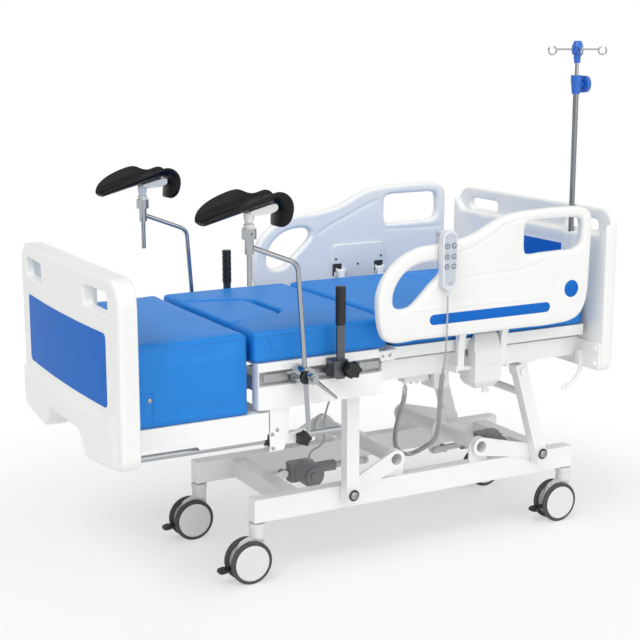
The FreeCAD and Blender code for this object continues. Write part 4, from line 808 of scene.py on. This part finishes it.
class BED_OT_castors(bpy.types.Operator):
    """Finishes of the four twin-wheel castors"""
    bl_idname = "bed.finish_castors"
    bl_label = "Castors"

    def execute(self, context):
        for corner in ("near_foot", "far_foot", "near_head", "far_head"):
            wheels = "caster_wheels_" + corner
            low, high = box_mm(wheels)
            axle = (low + high) / 2
            tread_thick = 13.5
            reach = (high.z - low.z) / 2 - tread_thick

            def tread(p, axle=axle, reach=reach):
                return math.hypot(p.x - axle.x, p.z - axle.z) > reach

            dress(wheels, finishes["hub"], (finishes["tread"], tread))
            dress("caster_fork_" + corner, finishes["hub"])
            self.pedal(corner, axle)
            for side, name in ((-1, "outer"), (1, "inner")):
                face = (low.y if side < 0 else high.y) - side * 4
                cap = lathe("castor_cap_" + corner + "_" + name,
                            [(0, 0), (56, 0), (57, 0.6), (56, 1.6), (30, 3.0), (0, 3.4)],
                            facing(axle.x, face, axle.z, (0, side, 0)), finishes["hub"], 48)
                put(cap, "wheels_" + corner)
        return {"FINISHED"}

    def pedal(self, corner, axle):
        """Brake pedal: an arm from between the wheels with a wide ribbed tread."""
        outline = [(-26, -9, 3), (-78, -9, 8), (-86, -24, 8), (-112, -21, 12), (-112, 21, 12), (-86, 24, 8),
                   (-78, 9, 8), (-26, 9, 3)]
        slope = math.radians(9)
        hinge_x, hinge_drop, half_thick = 38, 10, 4

        def place(x, y, level):
            run = x + hinge_x
            ahead = run * math.cos(slope) + level * math.sin(slope) - hinge_x
            rise = run * math.sin(slope) + level * math.cos(slope) - hinge_drop - half_thick
            return Vector((axle.x + ahead, axle.y + y, axle.z + rise)) * MM

        parts = [plate("pedal", rounded(outline, 5), place, 8, finishes["nylon"], 1.4 * MM)]
        for x in (-104, -97, -90):
            rib = rectangle(x - 1.5, -17, x + 1.5, 17, 1.4, 3)
            parts.append(plate("rib", rib, lambda a, b, level: place(a, b, 7.5 + level), 2,
                               finishes["nylon"]))
        put(join("brake_pedal_" + corner, parts), "pedal_" + corner,
            ["caster_pedal_" + corner])


class BED_OT_drives(bpy.types.Operator):
    """Finishes of the three linear drives and the control boxes"""
    bl_idname = "bed.finish_drives"
    bl_label = "Drives"

    def execute(self, context):
        for node in ("foot_lift_motor", "head_lift_motor", "back_motor"):
            dress(node, finishes["motor"])
        for node in ("foot_lift_rod", "head_lift_rod", "back_rod"):
            dress(node, finishes["aluminium"])
        dress("control_boxes", finishes["casing"])
        return {"FINISHED"}


class BED_OT_boards(bpy.types.Operator):
    """Foot board and head board with their blue insets"""
    bl_idname = "bed.add_boards"
    bl_label = "End boards"

    def execute(self, context):
        self.foot_moulding()
        self.foot_inset()
        self.head_moulding()
        self.head_inset()
        return {"FINISHED"}

    def foot_moulding(self):
        """Blow-moulded foot board: thinner round its hand holes, with a lipped apron and moulded lines."""
        low, high = box_mm("foot_board")
        body = bpy.data.objects.new("foot_board_moulding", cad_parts["foot_board"].data.copy())
        hole_y, half, under, over = 285, 150, 972, 1094
        pockets = [((high.x - 36, side * hole_y - half, under), (high.x + 5, side * hole_y + half, over))
                   for side in (-1, 1)]
        moulded(body, 4, 7, finishes["moulding"], pockets)
        points = coordinates(body.data) / MM
        apron = [(-500, 730), (-455, 716), (-420, 697), (-385, 681), (-340, 673), (-200, 676), (0, 676),
                 (200, 668), (380, 664), (500, 663)]
        line = np.interp(points[:, 1], [p[0] for p in apron], [p[1] for p in apron])
        proud = 1 / (1 + np.exp((points[:, 2] - line) / 1.6))
        ends = np.clip((points[:, 1] + 452) / 40, 0, 1)
        front = np.clip((low.x + 34 - points[:, 0]) / 10, 0, 1)
        apron_step = 8.0
        points[:, 0] -= apron_step * proud * ends * front
        move_to(body, points * MM)
        face = low.x
        lip = [(face - 2 + self.bow(y), y, z + 2) for y, z in apron[1:]]
        panel = [(170, 975), (165, 1046), (60, 1052), (-147, 1060), (-160, 1052), (-150, 985), (-60, 978),
                 (150, 970)]
        panel = [(face + self.bow(y), y, z) for y, z in panel]
        scaled = [[Vector(p) * MM for p in line] for line in (lip, panel)]
        pull_seams(body, scaled[:1], -3.5 * MM, 3.5 * MM)
        pull_seams(body, scaled[1:], 1.6 * MM, 3.5 * MM)
        put(body, "foot_section", ["foot_board"])

    def bow(self, y):
        """Depth of the bowed face behind its foremost line at a distance y from the middle."""
        bow, half = 20.0, 490.0
        radius = (half * half + bow * bow) / (2 * bow)
        return radius - math.sqrt(radius * radius - y * y)

    def head_moulding(self):
        """Head board with a wall over each drip pole socket."""
        face = box_mm("head_board")[0].x
        socket_y = 266
        parts = [bpy.data.objects.new("head_board_moulding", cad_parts["head_board"].data.copy())]
        for side in (-1, 1):
            def place(y, z, level, side=side):
                return Vector((face - 3 + level, side * socket_y + y, z)) * MM

            parts.append(plate("wall", rectangle(-32, 760, 32, 1108, 8, 3), place, 7, finishes["moulding"]))
        body = join("head_board_moulding", parts)
        moulded(body, 5, 6, finishes["moulding"])
        put(body, "top_frame", ["head_board"])

    def foot_inset(self):
        """Thin blue sheet that follows the bowed face of the foot board."""
        face = box_mm("foot_board")[0].x
        reach, bottom, top, corner = 379.0, 708.0, 939.0, 17.0
        mesh = bmesh.new()
        columns = []
        count = 48
        for step in range(count + 1):
            y = -reach * math.cos(math.pi * step / count)
            into = max(0.0, abs(y) - (reach - corner))
            cut = corner - math.sqrt(max(0.0, corner * corner - into * into))
            front, back = face + self.bow(y) - 0.5, face + self.bow(y) + 1.9
            lower, upper = bottom + cut, top - cut
            columns.append([mesh.verts.new(Vector((x, y, z)) * MM) for x, z in
                            ((front, lower), (front, upper), (back, upper), (back, lower))])
        for left, right in zip(columns, columns[1:]):
            for i in range(4):
                mesh.faces.new((left[i], left[(i + 1) % 4], right[(i + 1) % 4], right[i]))
        mesh.faces.new(columns[0])
        mesh.faces.new(columns[-1])
        put(from_bmesh("foot_board_inset", mesh, finishes["inset"]), "foot_section")

    def head_inset(self):
        face = box_mm("head_board")[0].x
        sheet = plate("head_board_inset", rectangle(-272, 720, 272, 1064, 22),
                      lambda y, z, level: Vector((face + 2.2 - level, y, z)) * MM, 1.3, finishes["inset"])
        put(sheet, "top_frame")


# Outer and inner face of the near side rail, as distances from the middle in millimetres
RAIL_OUTER = 480.0
RAIL_INNER = 440.0
# Outline of a side rail, its foot loop and its hand window, as (x, z) in millimetres
RAIL_OUTLINE = [(4, 829), (120, 827), (300, 825), (500, 825), (700, 826), (748, 832), (786, 850),
                (808, 884), (819, 930), (824, 1030), (827, 1120), (827, 1178), (820, 1209), (797, 1226),
                (765, 1233), (690, 1235), (590, 1232), (520, 1228), (470, 1220), (420, 1204), (380, 1185),
                (345, 1169), (310, 1157), (262, 1148), (210, 1141), (166, 1139), (129, 1135), (92, 1126),
                (56, 1110), (25, 1088), (-1, 1063), (-21, 1036), (-34, 1008), (-41, 978), (-41, 946),
                (-39, 914), (-35, 887), (-28, 861), (-15, 840)]
RAIL_LOOP = [(205, 1056), (198, 1074), (180, 1084), (150, 1086), (122, 1083), (93, 1075), (62, 1057),
             (38, 1033), (21, 1003), (14, 972), (18, 950), (34, 938), (60, 935), (88, 941), (108, 956),
             (132, 978), (157, 1002), (182, 1024), (198, 1040)]
RAIL_WINDOW = [(538, 1172), (545, 1188), (562, 1193), (620, 1196), (700, 1196), (758, 1195), (777, 1189),
               (785, 1172), (787, 1140), (786, 1112), (777, 1094), (757, 1085), (700, 1083), (620, 1081),
               (560, 1080), (544, 1085), (538, 1100), (537, 1136)]


class BED_OT_rails(bpy.types.Operator):
    """Side rails with stripe, disc, latch cover, arms and casings"""
    bl_idname = "bed.add_rails"
    bl_label = "Side rails"

    def execute(self, context):
        for side, name in ((-1, "near"), (1, "far")):
            rail = "side_rail_" + name
            dress("rail_arms_" + name, finishes["steel"])
            self.moulding(rail, side)
            seat = RAIL_OUTER - 0.9
            stripe = rectangle(153.5, 873.5, 650.5, 908.5, 17.4, 12)
            put(plate(rail + "_stripe", stripe, on_near_face(seat, side), 1.3, finishes["inset"], 0.3 * MM),
                rail)
            disc = lathe(rail + "_disc", [(0, 0), (30.6, 0), (30.6, 0.8), (29.8, 1.3), (0, 1.5)],
                         facing(742, side * seat, 947, (0, side, 0)), finishes["inset"], 48)
            put(disc, rail)
            self.latch_cover(rail, side)
        dress("rail_housings", finishes["casing"])
        return {"FINISHED"}

    def moulding(self, rail, side):
        """Side rail with tube-like rims, moulded lines and the ears that take the arms' pins."""
        low = -RAIL_OUTER if side < 0 else RAIL_INNER
        loops = [RAIL_OUTLINE, RAIL_LOOP[::-1], RAIL_WINDOW[::-1]]
        slab = cast(rail + "_moulding", loops, low, RAIL_OUTER - RAIL_INNER, 13)
        body = moulded(slab, 4, 3, finishes["moulding"])
        contours = [[(255, 1108), (318, 1120), (395, 1155), (453, 1191), (530, 1208)],
                    [(255, 1024), (400, 1027), (520, 1030), (600, 1046), (640, 1066)],
                    [(700, 1012), (682, 978), (665, 950)], [(60, 927), (233, 931), (495, 928), (638, 926)]]
        lines = [[Vector((x, side * RAIL_OUTER, z)) * MM for x, z in line] for line in contours]
        pull_seams(body, lines[:3], 1.7 * MM, 3.5 * MM)
        pull_seams(body, lines[3:], -1.8 * MM, 3.5 * MM)
        inside = [(240, 1062), (300, 1096), (380, 1128), (450, 1160), (505, 1176), (512, 1100), (540, 1060),
                  (700, 1054), (800, 1056)]
        pull_seams(body, [[Vector((x, side * RAIL_INNER, z)) * MM for x, z in inside]], 1.8 * MM, 6 * MM)
        parts = [body]
        bpy.context.scene.collection.objects.unlink(body)
        ear = rounded([(446, 889, 0), (417, 892, 12), (417, 918, 12), (446, 921, 0)], 4)
        for x in (328, 506):
            for start in (x - 19, x + 14):
                def place(y, z, level, start=start):
                    return Vector((start + level, side * y, z)) * MM

                parts.append(plate("ear", ear, place, 5, finishes["moulding"]))
        put(join(rail + "_shell", parts), rail, [rail])

    def latch_cover(self, rail, side):
        """Cover plate in the inner pocket, with two square slots drawn as dark sheets of painted shade, and
        its screws.
        """
        deep, proud, slot_deep = RAIL_INNER + 1.0, 8.0, 0.5

        def inward(rise):
            """Places outline points on the rail's inner face, rising toward the bed's middle."""
            place = on_near_face(deep, side)
            return lambda x, z, level: place(x, z, -rise - level)

        cover = rounded([(302, 864, 8), (532, 864, 8), (532, 1010, 14), (302, 1010, 14)])
        parts = [plate(rail + "_cover", cover, inward(0.0), proud, finishes["casing"], 2.0 * MM)]
        for x in (316.5, 504.5):
            # Each slot is a thin dark sheet on the cover: painted shade of the slot's depth, with a pale
            # tongue on it.
            parts.append(plate(rail + "_slot", rectangle(x - 20, 889, x + 20, 937, 3, 3), inward(proud),
                               slot_deep, finishes["rubber"]))
            parts.append(plate(rail + "_tongue", rectangle(x - 14, 889, x + 14, 905, 2, 3),
                               inward(proud + slot_deep), 0.8, finishes["casing"]))
        profile = [(0, 0), (5, 0), (4.6, 1.2), (2.4, 1.6), (2.2, 0.8), (0, 0.8)]
        for x, z in ((311, 955), (516, 955), (410, 930)):
            place = facing(x, side * (deep - proud), z, (0, -side, 0))
            parts.append(lathe(rail + "_screw", profile, place, finishes["rubber"], 16))
        put(join(rail + "_latch_cover", parts), rail)


def cushion_copy(node, name, shrink):
    """Copy of a CAD cushion, drawn in all round by shrink, as a closed voxel mesh."""
    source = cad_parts[node]
    body = bpy.data.objects.new(name, source.data.copy())
    bpy.context.scene.collection.objects.link(body)
    body.data.materials.clear()
    low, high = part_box(node)
    middle, size = (low + high) / 2, high - low
    for vertex in body.data.vertices:
        for axis in (0, 1):
            share = 1 - 2 * shrink / size[axis]
            vertex.co[axis] = middle[axis] + (vertex.co[axis] - middle[axis]) * share
    remesh = body.modifiers.new("remesh", "REMESH")
    remesh.mode = "VOXEL"
    remesh.voxel_size = bpy.context.scene.bed_sizes.voxel
    remesh.use_smooth_shade = True
    return settle(body)


def settle(body):
    """Applies a piece's modifiers to its mesh."""
    graph = bpy.context.evaluated_depsgraph_get()
    data = bpy.data.meshes.new_from_object(body.evaluated_get(graph))
    body.modifiers.clear()
    body.data = data
    return body


def coordinates(data):
    values = np.empty(len(data.vertices) * 3)
    data.vertices.foreach_get("co", values)
    return values.reshape(-1, 3)


def move_to(body, points):
    body.data.vertices.foreach_set("co", points.ravel())
    body.data.update()


def swell(body, cap, share):
    """Blows the cover up as cloth under pressure; no point moves more than cap times its share."""
    rest = coordinates(body.data)
    cloth = body.modifiers.new("cover", "CLOTH")
    cloth.settings.use_pressure = True
    cloth.settings.uniform_pressure_force = 4.0
    cloth.settings.effector_weights.gravity = 0.0
    scene = bpy.context.scene
    for step in range(1, 21):
        scene.frame_set(step)
    graph = bpy.context.evaluated_depsgraph_get()
    move = coordinates(body.evaluated_get(graph).to_mesh()) - rest
    body.modifiers.clear()
    scene.frame_set(1)
    far = np.linalg.norm(move, axis=1)
    keep = cap * np.tanh(far / cap) / np.maximum(far, 1e-9)
    move_to(body, rest + move * (keep * share(rest))[:, None])


def distance_to(points, line):
    """Distance of each point to a chain of straight stitches."""
    nearest = np.full(len(points), 9.0)
    for a, b in zip(line, line[1:]):
        a, b = np.array(a), np.array(b)
        run = b - a
        along = np.clip((points - a) @ run / (run @ run), 0, 1)
        gap = np.linalg.norm(points - a - along[:, None] * run, axis=1)
        nearest = np.minimum(nearest, gap)
    return nearest


def pull_seams(body, lines, depth, width):
    """Draws the cover in along its seams."""
    points = coordinates(body.data)
    normals = np.array([v.normal for v in body.data.vertices])
    for line in lines:
        gap = distance_to(points, line)
        points = points - normals * (depth * np.exp(-(gap / width) ** 2))[:, None]
    move_to(body, points)


def laid_on(body, line, lift, spacing=8 * MM):
    """The line's points, brought onto the cover and lifted a little off it."""
    made = []
    for a, b in zip(line, line[1:]):
        a, b = Vector(a), Vector(b)
        count = max(1, round((b - a).length / spacing))
        for step in range(count):
            _, spot, normal, _ = body.closest_point_on_mesh(a.lerp(b, step / count))
            made.append(spot + normal * lift)
    _, spot, normal, _ = body.closest_point_on_mesh(Vector(line[-1]))
    made.append(spot + normal * lift)
    return made


# Slanting seam at the seat cushion's foot corners, as (x, z) in millimetres
CORNER_SEAM = [(-404, 890), (-380, 832), (-350, 800)]


class BED_OT_cushions(bpy.types.Operator):
    """Foot block, seat cushion, lift-out plug and back cushion"""
    bl_idname = "bed.add_cushions"
    bl_label = "Cushions"

    def execute(self, context):
        half, low, top, crease_x = 390 * MM, 790 * MM, 893 * MM, 539 * MM
        self.cushion("foot_cushion", "foot_block", "foot_cushion", self.block_seams(), [])
        self.cushion("seat_cushion", "seat_pad", "top_frame", self.pad_seams("seat_cushion"), [])
        self.cushion("seat_plug", "seat_insert", "seat_plug", [], [])
        self.cushion("back_cushion", "back_pad", "back_section", self.pad_seams("back_cushion"),
                     [[(crease_x, -half, low), (crease_x, -half, top), (crease_x, half, top),
                       (crease_x, half, low)]])
        self.snap()
        return {"FINISHED"}

    def pad_seams(self, node):
        """Seams round the top and bottom edges of a flat pad."""
        low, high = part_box(node)
        lines = []
        for z in (high.z - 14 * MM, low.z + 12 * MM):
            lines.append(self.round_line(low, high, z, 22 * MM))
        if node == "seat_cushion":
            for side in (-1, 1):
                lines.append([Vector((x, side * 391, z)) * MM for x, z in CORNER_SEAM])
        return lines

    def block_seams(self):
        """Seams of the foot block: round its edges, and round the flap of its pocket."""
        low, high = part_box("foot_cushion")
        lines = [self.round_line(low, high, high.z - 12 * MM, 20 * MM),
                 self.round_line(low, high, low.z + 12 * MM, 20 * MM)]
        flap_x, flap_z = -795 * MM, 740 * MM
        lines.append([(low.x + 4 * MM, low.y, flap_z), (flap_x, low.y, flap_z),
                      (flap_x, low.y, low.z + 12 * MM)])
        return lines

    def round_line(self, low, high, z, radius):
        """Closed seam round a cushion at one height."""
        points = [(p.x, p.y, z) for p in rectangle(low.x, low.y, high.x, high.y, radius, 4)]
        return points + points[:1]

    def cushion(self, node, name, rides, seams, creases):
        """Cushion with its cover blown up, drawn in at its seams and creases, and its welts."""
        sizes = bpy.context.scene.bed_sizes
        low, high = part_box(node)
        pad = cushion_copy(node, name, 2.5 * MM)

        def share(points):
            rise = np.clip((points[:, 2] - low.z) / (22 * MM), 0, 1)
            room = np.ones(len(points))
            if node == "seat_cushion":
                over_pocket = (points[:, 0] < -195 * MM) & (np.abs(points[:, 1]) < 212 * MM)
                room[over_pocket & (points[:, 2] < high.z - 3 * MM)] = 0.0
            if node == "seat_plug":
                room *= 0.25
            return rise * room

        swell(pad, sizes.crown, share)
        smooth = pad.modifiers.new("smooth", "SUBSURF")
        smooth.levels = smooth.render_levels = 2
        settle(pad)
        if node == "seat_cushion":
            self.relieve(pad)
        pull_seams(pad, seams, sizes.seam_depth, sizes.seam_width)
        pull_seams(pad, creases, 4.5 * MM, 7 * MM)
        skin(pad.data, finishes["vinyl"])
        beads = [bead(name + "_seam", laid_on(pad, line, 0.2 * sizes.welt), sizes.welt, finishes["welt"])
                 for line in seams]
        if beads:
            welts = join(name + "_welts", beads)
        if rides == "back_section":
            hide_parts(node)
            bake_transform(pad)
            bpy.context.scene.collection.objects.link(welts)
            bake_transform(welts)
        else:
            put(pad, rides, [node])
            if beads:
                put(welts, rides)

    def relieve(self, pad):
        """Slants the seat's lower head edge, beside which the back deck swings up."""
        points = coordinates(pad.data)
        edge_x, edge_z, slant = 43 * MM, 787 * MM, 0.36
        limit = edge_x + np.maximum(points[:, 2] - edge_z, 0) * slant
        points[:, 0] = np.minimum(points[:, 0], limit)
        move_to(pad, points)

    def snap(self):
        """Press stud of the foot block's pocket."""
        profile = [(0, -1), (7.5, -1), (7.5, 0.8), (6, 2.2), (2.5, 2.8), (2, 1.6), (0, 1.6)]
        place = facing(-805, -391.5, 718, (0, -1, 0))
        stud = lathe("pocket_snap", profile, place, finishes["zinc"], 24)
        put(stud, "foot_cushion")


class BED_OT_leg_holders(bpy.types.Operator):
    """Leg holders: chrome rods and posts, and the black leg shells"""
    bl_idname = "bed.add_leg_holders"
    bl_label = "Leg holders"

    def execute(self, context):
        collar_z, shell_y = 1233.5, 440
        for side, name in ((-1, "near"), (1, "far")):
            dress("leg_rod_" + name, finishes["chrome"])
            dress("leg_post_" + name, finishes["chrome"], (finishes["casing"], lambda p: p.z > collar_z))
            dress("leg_clamp_lever_" + name, finishes["chrome"])
            washer = lathe("leg_clamp_washer_" + name, [(11, 0), (19, 0), (20, 1), (19, 3), (11, 3)],
                           facing(-303, side * 466.5, 746, (0, side, 0)), finishes["rubber"])
            put(washer, "top_frame")
            self.shell(name, side * shell_y)
        dress("leg_clamps", finishes["chrome"])
        return {"FINISHED"}

    def stations(self):
        """Underside of the shell: (x, z, heading, half width, near wall, far wall), in millimetres."""
        rows = []
        slope, radius, hang = math.radians(14.7), 16, math.radians(96)
        toe_x, toe_z, head_x, head_z = -163, 1251, 70, 1312
        walls = ((0.0, 36, 8, 10), (0.04, 48, 13, 20), (0.1, 56, 18, 33), (0.24, 61, 22, 47),
                 (0.4, 63, 24, 54), (0.55, 64, 25, 57), (0.68, 64, 26, 57), (0.76, 64, 27, 50),
                 (0.84, 64, 29, 32), (0.92, 64, 31, 23), (1.0, 63, 32, 23))
        for share, half, near, far in walls:
            rows.append((toe_x + (head_x - toe_x) * share, toe_z + (head_z - toe_z) * share, slope, half,
                         near, far))
        x, z = head_x + radius * math.sin(slope), head_z - radius * math.cos(slope)
        for step in range(1, 9):
            turn = slope - (slope + hang) * step / 8
            rows.append((x - radius * math.sin(turn), z + radius * math.cos(turn), turn, 62, 32,
                         min(31, 23 + 3 * step)))
        x, z = rows[-1][:2]
        for fall, half, wall in ((18, 61, 31), (36, 57, 28), (50, 48, 21), (58, 35, 12)):
            rows.append((x - fall * 0.1, z - fall, -hang, half, wall, wall - 3))
        return rows

    def ring(self, x, z, heading, half, near, far, thick=9.0):
        """Closed section of the shell: its underside from near rim to far rim, and back inside."""
        line = []
        for step in range(13):
            angle = math.radians(-90 + 15 * step)
            wall = near if angle < 0 else far
            line.append(Vector((half * math.sin(angle), wall * (1 - math.cos(angle)))))
        under, inner = [], []
        for i, spot in enumerate(line):
            run = (line[min(i + 1, 12)] - line[max(i - 1, 0)]).normalized()
            across = Vector((-run.y, run.x))
            under.append(spot)
            inner.append(spot + across * thick)
        rims = []
        for side, end in ((1, 12), (-1, 0)):
            run = (line[12] - line[11]).normalized() if side > 0 else (line[0] - line[1]).normalized()
            rims.append((under[end] + inner[end]) / 2 + run * thick * 0.55)
        flat = under + [rims[0]] + inner[::-1] + [rims[1]]
        lift = (-math.sin(heading), math.cos(heading))
        return [Vector((x + h * lift[0], y, z + h * lift[1])) for y, h in flat]

    def shell(self, name, middle):
        """Leg shell: a calf trough whose head end rolls over into a flap, on its pale carrier."""
        post_x = -486
        mesh = bmesh.new()
        rings = []
        for row in self.stations():
            rings.append([mesh.verts.new((p + Vector((post_x, middle, 0))) * MM) for p in self.ring(*row)])
        count = len(rings[0])
        for low, high in zip(rings, rings[1:]):
            for i in range(count):
                mesh.faces.new((low[i], low[(i + 1) % count], high[(i + 1) % count], high[i]))
        for ends in (rings[0], rings[-1]):
            for i in range(12):
                mesh.faces.new((ends[i], ends[i + 1], ends[25 - i], ends[26 - i]))
            mesh.faces.new((ends[12], ends[13], ends[14]))
            mesh.faces.new((ends[26], ends[27], ends[0]))
        shell = from_bmesh("shell", mesh, finishes["skin_foam"])
        bpy.context.scene.collection.objects.link(shell)
        soft = shell.modifiers.new("soft", "SUBSURF")
        soft.levels = soft.render_levels = 2
        settle(shell)
        outline = rounded([(-28, 1286, 6), (66, 1309, 3), (84, 1309, 9), (84, 1290, 12), (62, 1280, 20),
                           (10, 1276, 20)])
        wide = 66

        def across(x, z, level):
            return Vector((post_x + x, middle - wide / 2 + level, z)) * MM

        carrier = plate("carrier", outline, across, wide, finishes["casing"], 2 * MM)
        boss = lathe("boss", [(0, 0), (13, 0), (14.5, 2), (18, 30), (0, 30)],
                     facing(post_x, middle, 1253, (0, 0, 1)), finishes["moulding"])
        put(join("leg_shell_" + name, [shell, carrier, boss]), "leg_cradle_" + name,
            ["leg_cradle_" + name])


class BED_OT_grips(bpy.types.Operator):
    """Hand grips with their clamps, and the knobs"""
    bl_idname = "bed.finish_grips"
    bl_label = "Hand grips and knobs"

    def execute(self, context):
        for name in ("near", "far"):
            dress("hand_grip_" + name, finishes["gunmetal"], (finishes["nylon"], lambda p: p.z > 897))
            dress("grip_knob_" + name, finishes["nylon"])
            dress("foot_lock_knob_" + name, finishes["nylon"])
        return {"FINISHED"}


class BED_OT_drip_pole(bpy.types.Operator):
    """Drip pole with its hub, hooks and clamp"""
    bl_idname = "bed.finish_drip_pole"
    bl_label = "Drip pole"

    def execute(self, context):
        dress("drip_pole_tube", finishes["pole"], (finishes["blue"], lambda p: p.z > 1607.5))
        top, hub_high, hub_radius = box_mm("drip_pole_rod")[1].z, 79, 21

        def in_hub(p):
            return p.z > top - hub_high and math.hypot(p.x - 904, p.y + 266) < hub_radius

        dress("drip_pole_rod", finishes["chrome"], (finishes["blue"], in_hub))
        dress("drip_pole_knob", finishes["blue"])
        return {"FINISHED"}


class BED_OT_handset(bpy.types.Operator):
    """Handset with its key film and printed keys"""
    bl_idname = "bed.add_handset"
    bl_label = "Handset"

    def execute(self, context):
        dress("handset", finishes["shell"])
        front, middle = 512.0, 210.0
        printed = on_near_face(front + 1.1)
        film = rounded([(middle - 19, 1006, 17), (middle + 19, 1006, 17), (middle + 23.5, 1100, 60),
                        (middle + 22, 1182, 20), (middle - 22, 1182, 20), (middle - 23.5, 1100, 60)], 8)
        parts = [plate("film", film, on_near_face(front - 0.1), 0.3, finishes["film"])]
        keys = []
        for x, z in [(x, z) for z in (1139, 1104, 1071) for x in (middle - 13.5, middle + 13.5)]:
            place = facing(x, -front - 0.2, z, (0, -1, 0))
            ring = [(9.2, 0), (9.2, 0.6), (6.6, 0.6), (6.6, 0)]
            parts.append(lathe("ring", ring, place, finishes["ink"], 28))
            keys.append(lathe("key", [(0, 0), (6.7, 0), (6.5, 0.9), (0, 1.2)], place, finishes["film"], 24))
            arrow = 1 if x < middle else -1
            sign = [(x - 3.4, z + arrow * 0.6), (x + 3.4, z + arrow * 0.6), (x, z + arrow * 4.4)]
            keys.append(plate("sign", [Vector(p) for p in sign], printed, 0.35, finishes["ink"]))
            bar = rectangle(x - 3, z - 2.4, x + 3, z - 0.9, 0.5, 2)
            keys.append(plate("bar", bar, printed, 0.35, finishes["ink"]))
        for x, z, size in ((middle - 16, 1170, 1.3), (middle + 13, 1170, 1.3), (middle - 4, 1016, 1.8),
                           (middle + 5, 1016, 1.8), (middle + 5, 1010, 1.2)):
            parts.append(lathe("mark", [(0, 0), (size, 0), (size, 0.3), (0, 0.3)],
                               facing(x, -front - 0.15, z, (0, -1, 0)), finishes["ink"], 12))
        put(join("handset_film", parts), "side_rail_near")
        put(join("handset_key_caps", keys), "handset_keys", ["handset_keys"])
        return {"FINISHED"}


class BED_PT_panel(bpy.types.Panel):
    """Buttons and settings of the delivery bed"""
    bl_idname = "BED_PT_panel"
    bl_label = "Delivery bed"
    bl_space_type = "VIEW_3D"
    bl_region_type = "UI"
    bl_category = "Bed"

    def draw(self, context):
        for operator in STEPS:
            self.layout.operator(operator.bl_idname)
        for settings in (context.scene.bed_colours, context.scene.bed_sizes):
            for name in settings.__annotations__:
                self.layout.prop(settings, name)


STEPS = (BED_OT_stage, BED_OT_leads, BED_OT_frames, BED_OT_castors, BED_OT_drives, BED_OT_boards,
         BED_OT_rails, BED_OT_cushions, BED_OT_leg_holders, BED_OT_grips, BED_OT_drip_pole, BED_OT_handset)
GROUPS = (BedColours, BedSizes)


def register():
    for made in GROUPS + STEPS + (BED_PT_panel,):
        bpy.utils.register_class(made)
    bpy.types.Scene.bed_colours = bpy.props.PointerProperty(type=BedColours)
    bpy.types.Scene.bed_sizes = bpy.props.PointerProperty(type=BedSizes)


def unregister():
    del bpy.types.Scene.bed_sizes
    del bpy.types.Scene.bed_colours
    for made in reversed(GROUPS + STEPS + (BED_PT_panel,)):
        bpy.utils.unregister_class(made)


def main():
    register()
    for operator in STEPS:
        group, name = operator.bl_idname.split(".")
        getattr(getattr(bpy.ops, group), name)()


if __name__ == "__main__":
    main()
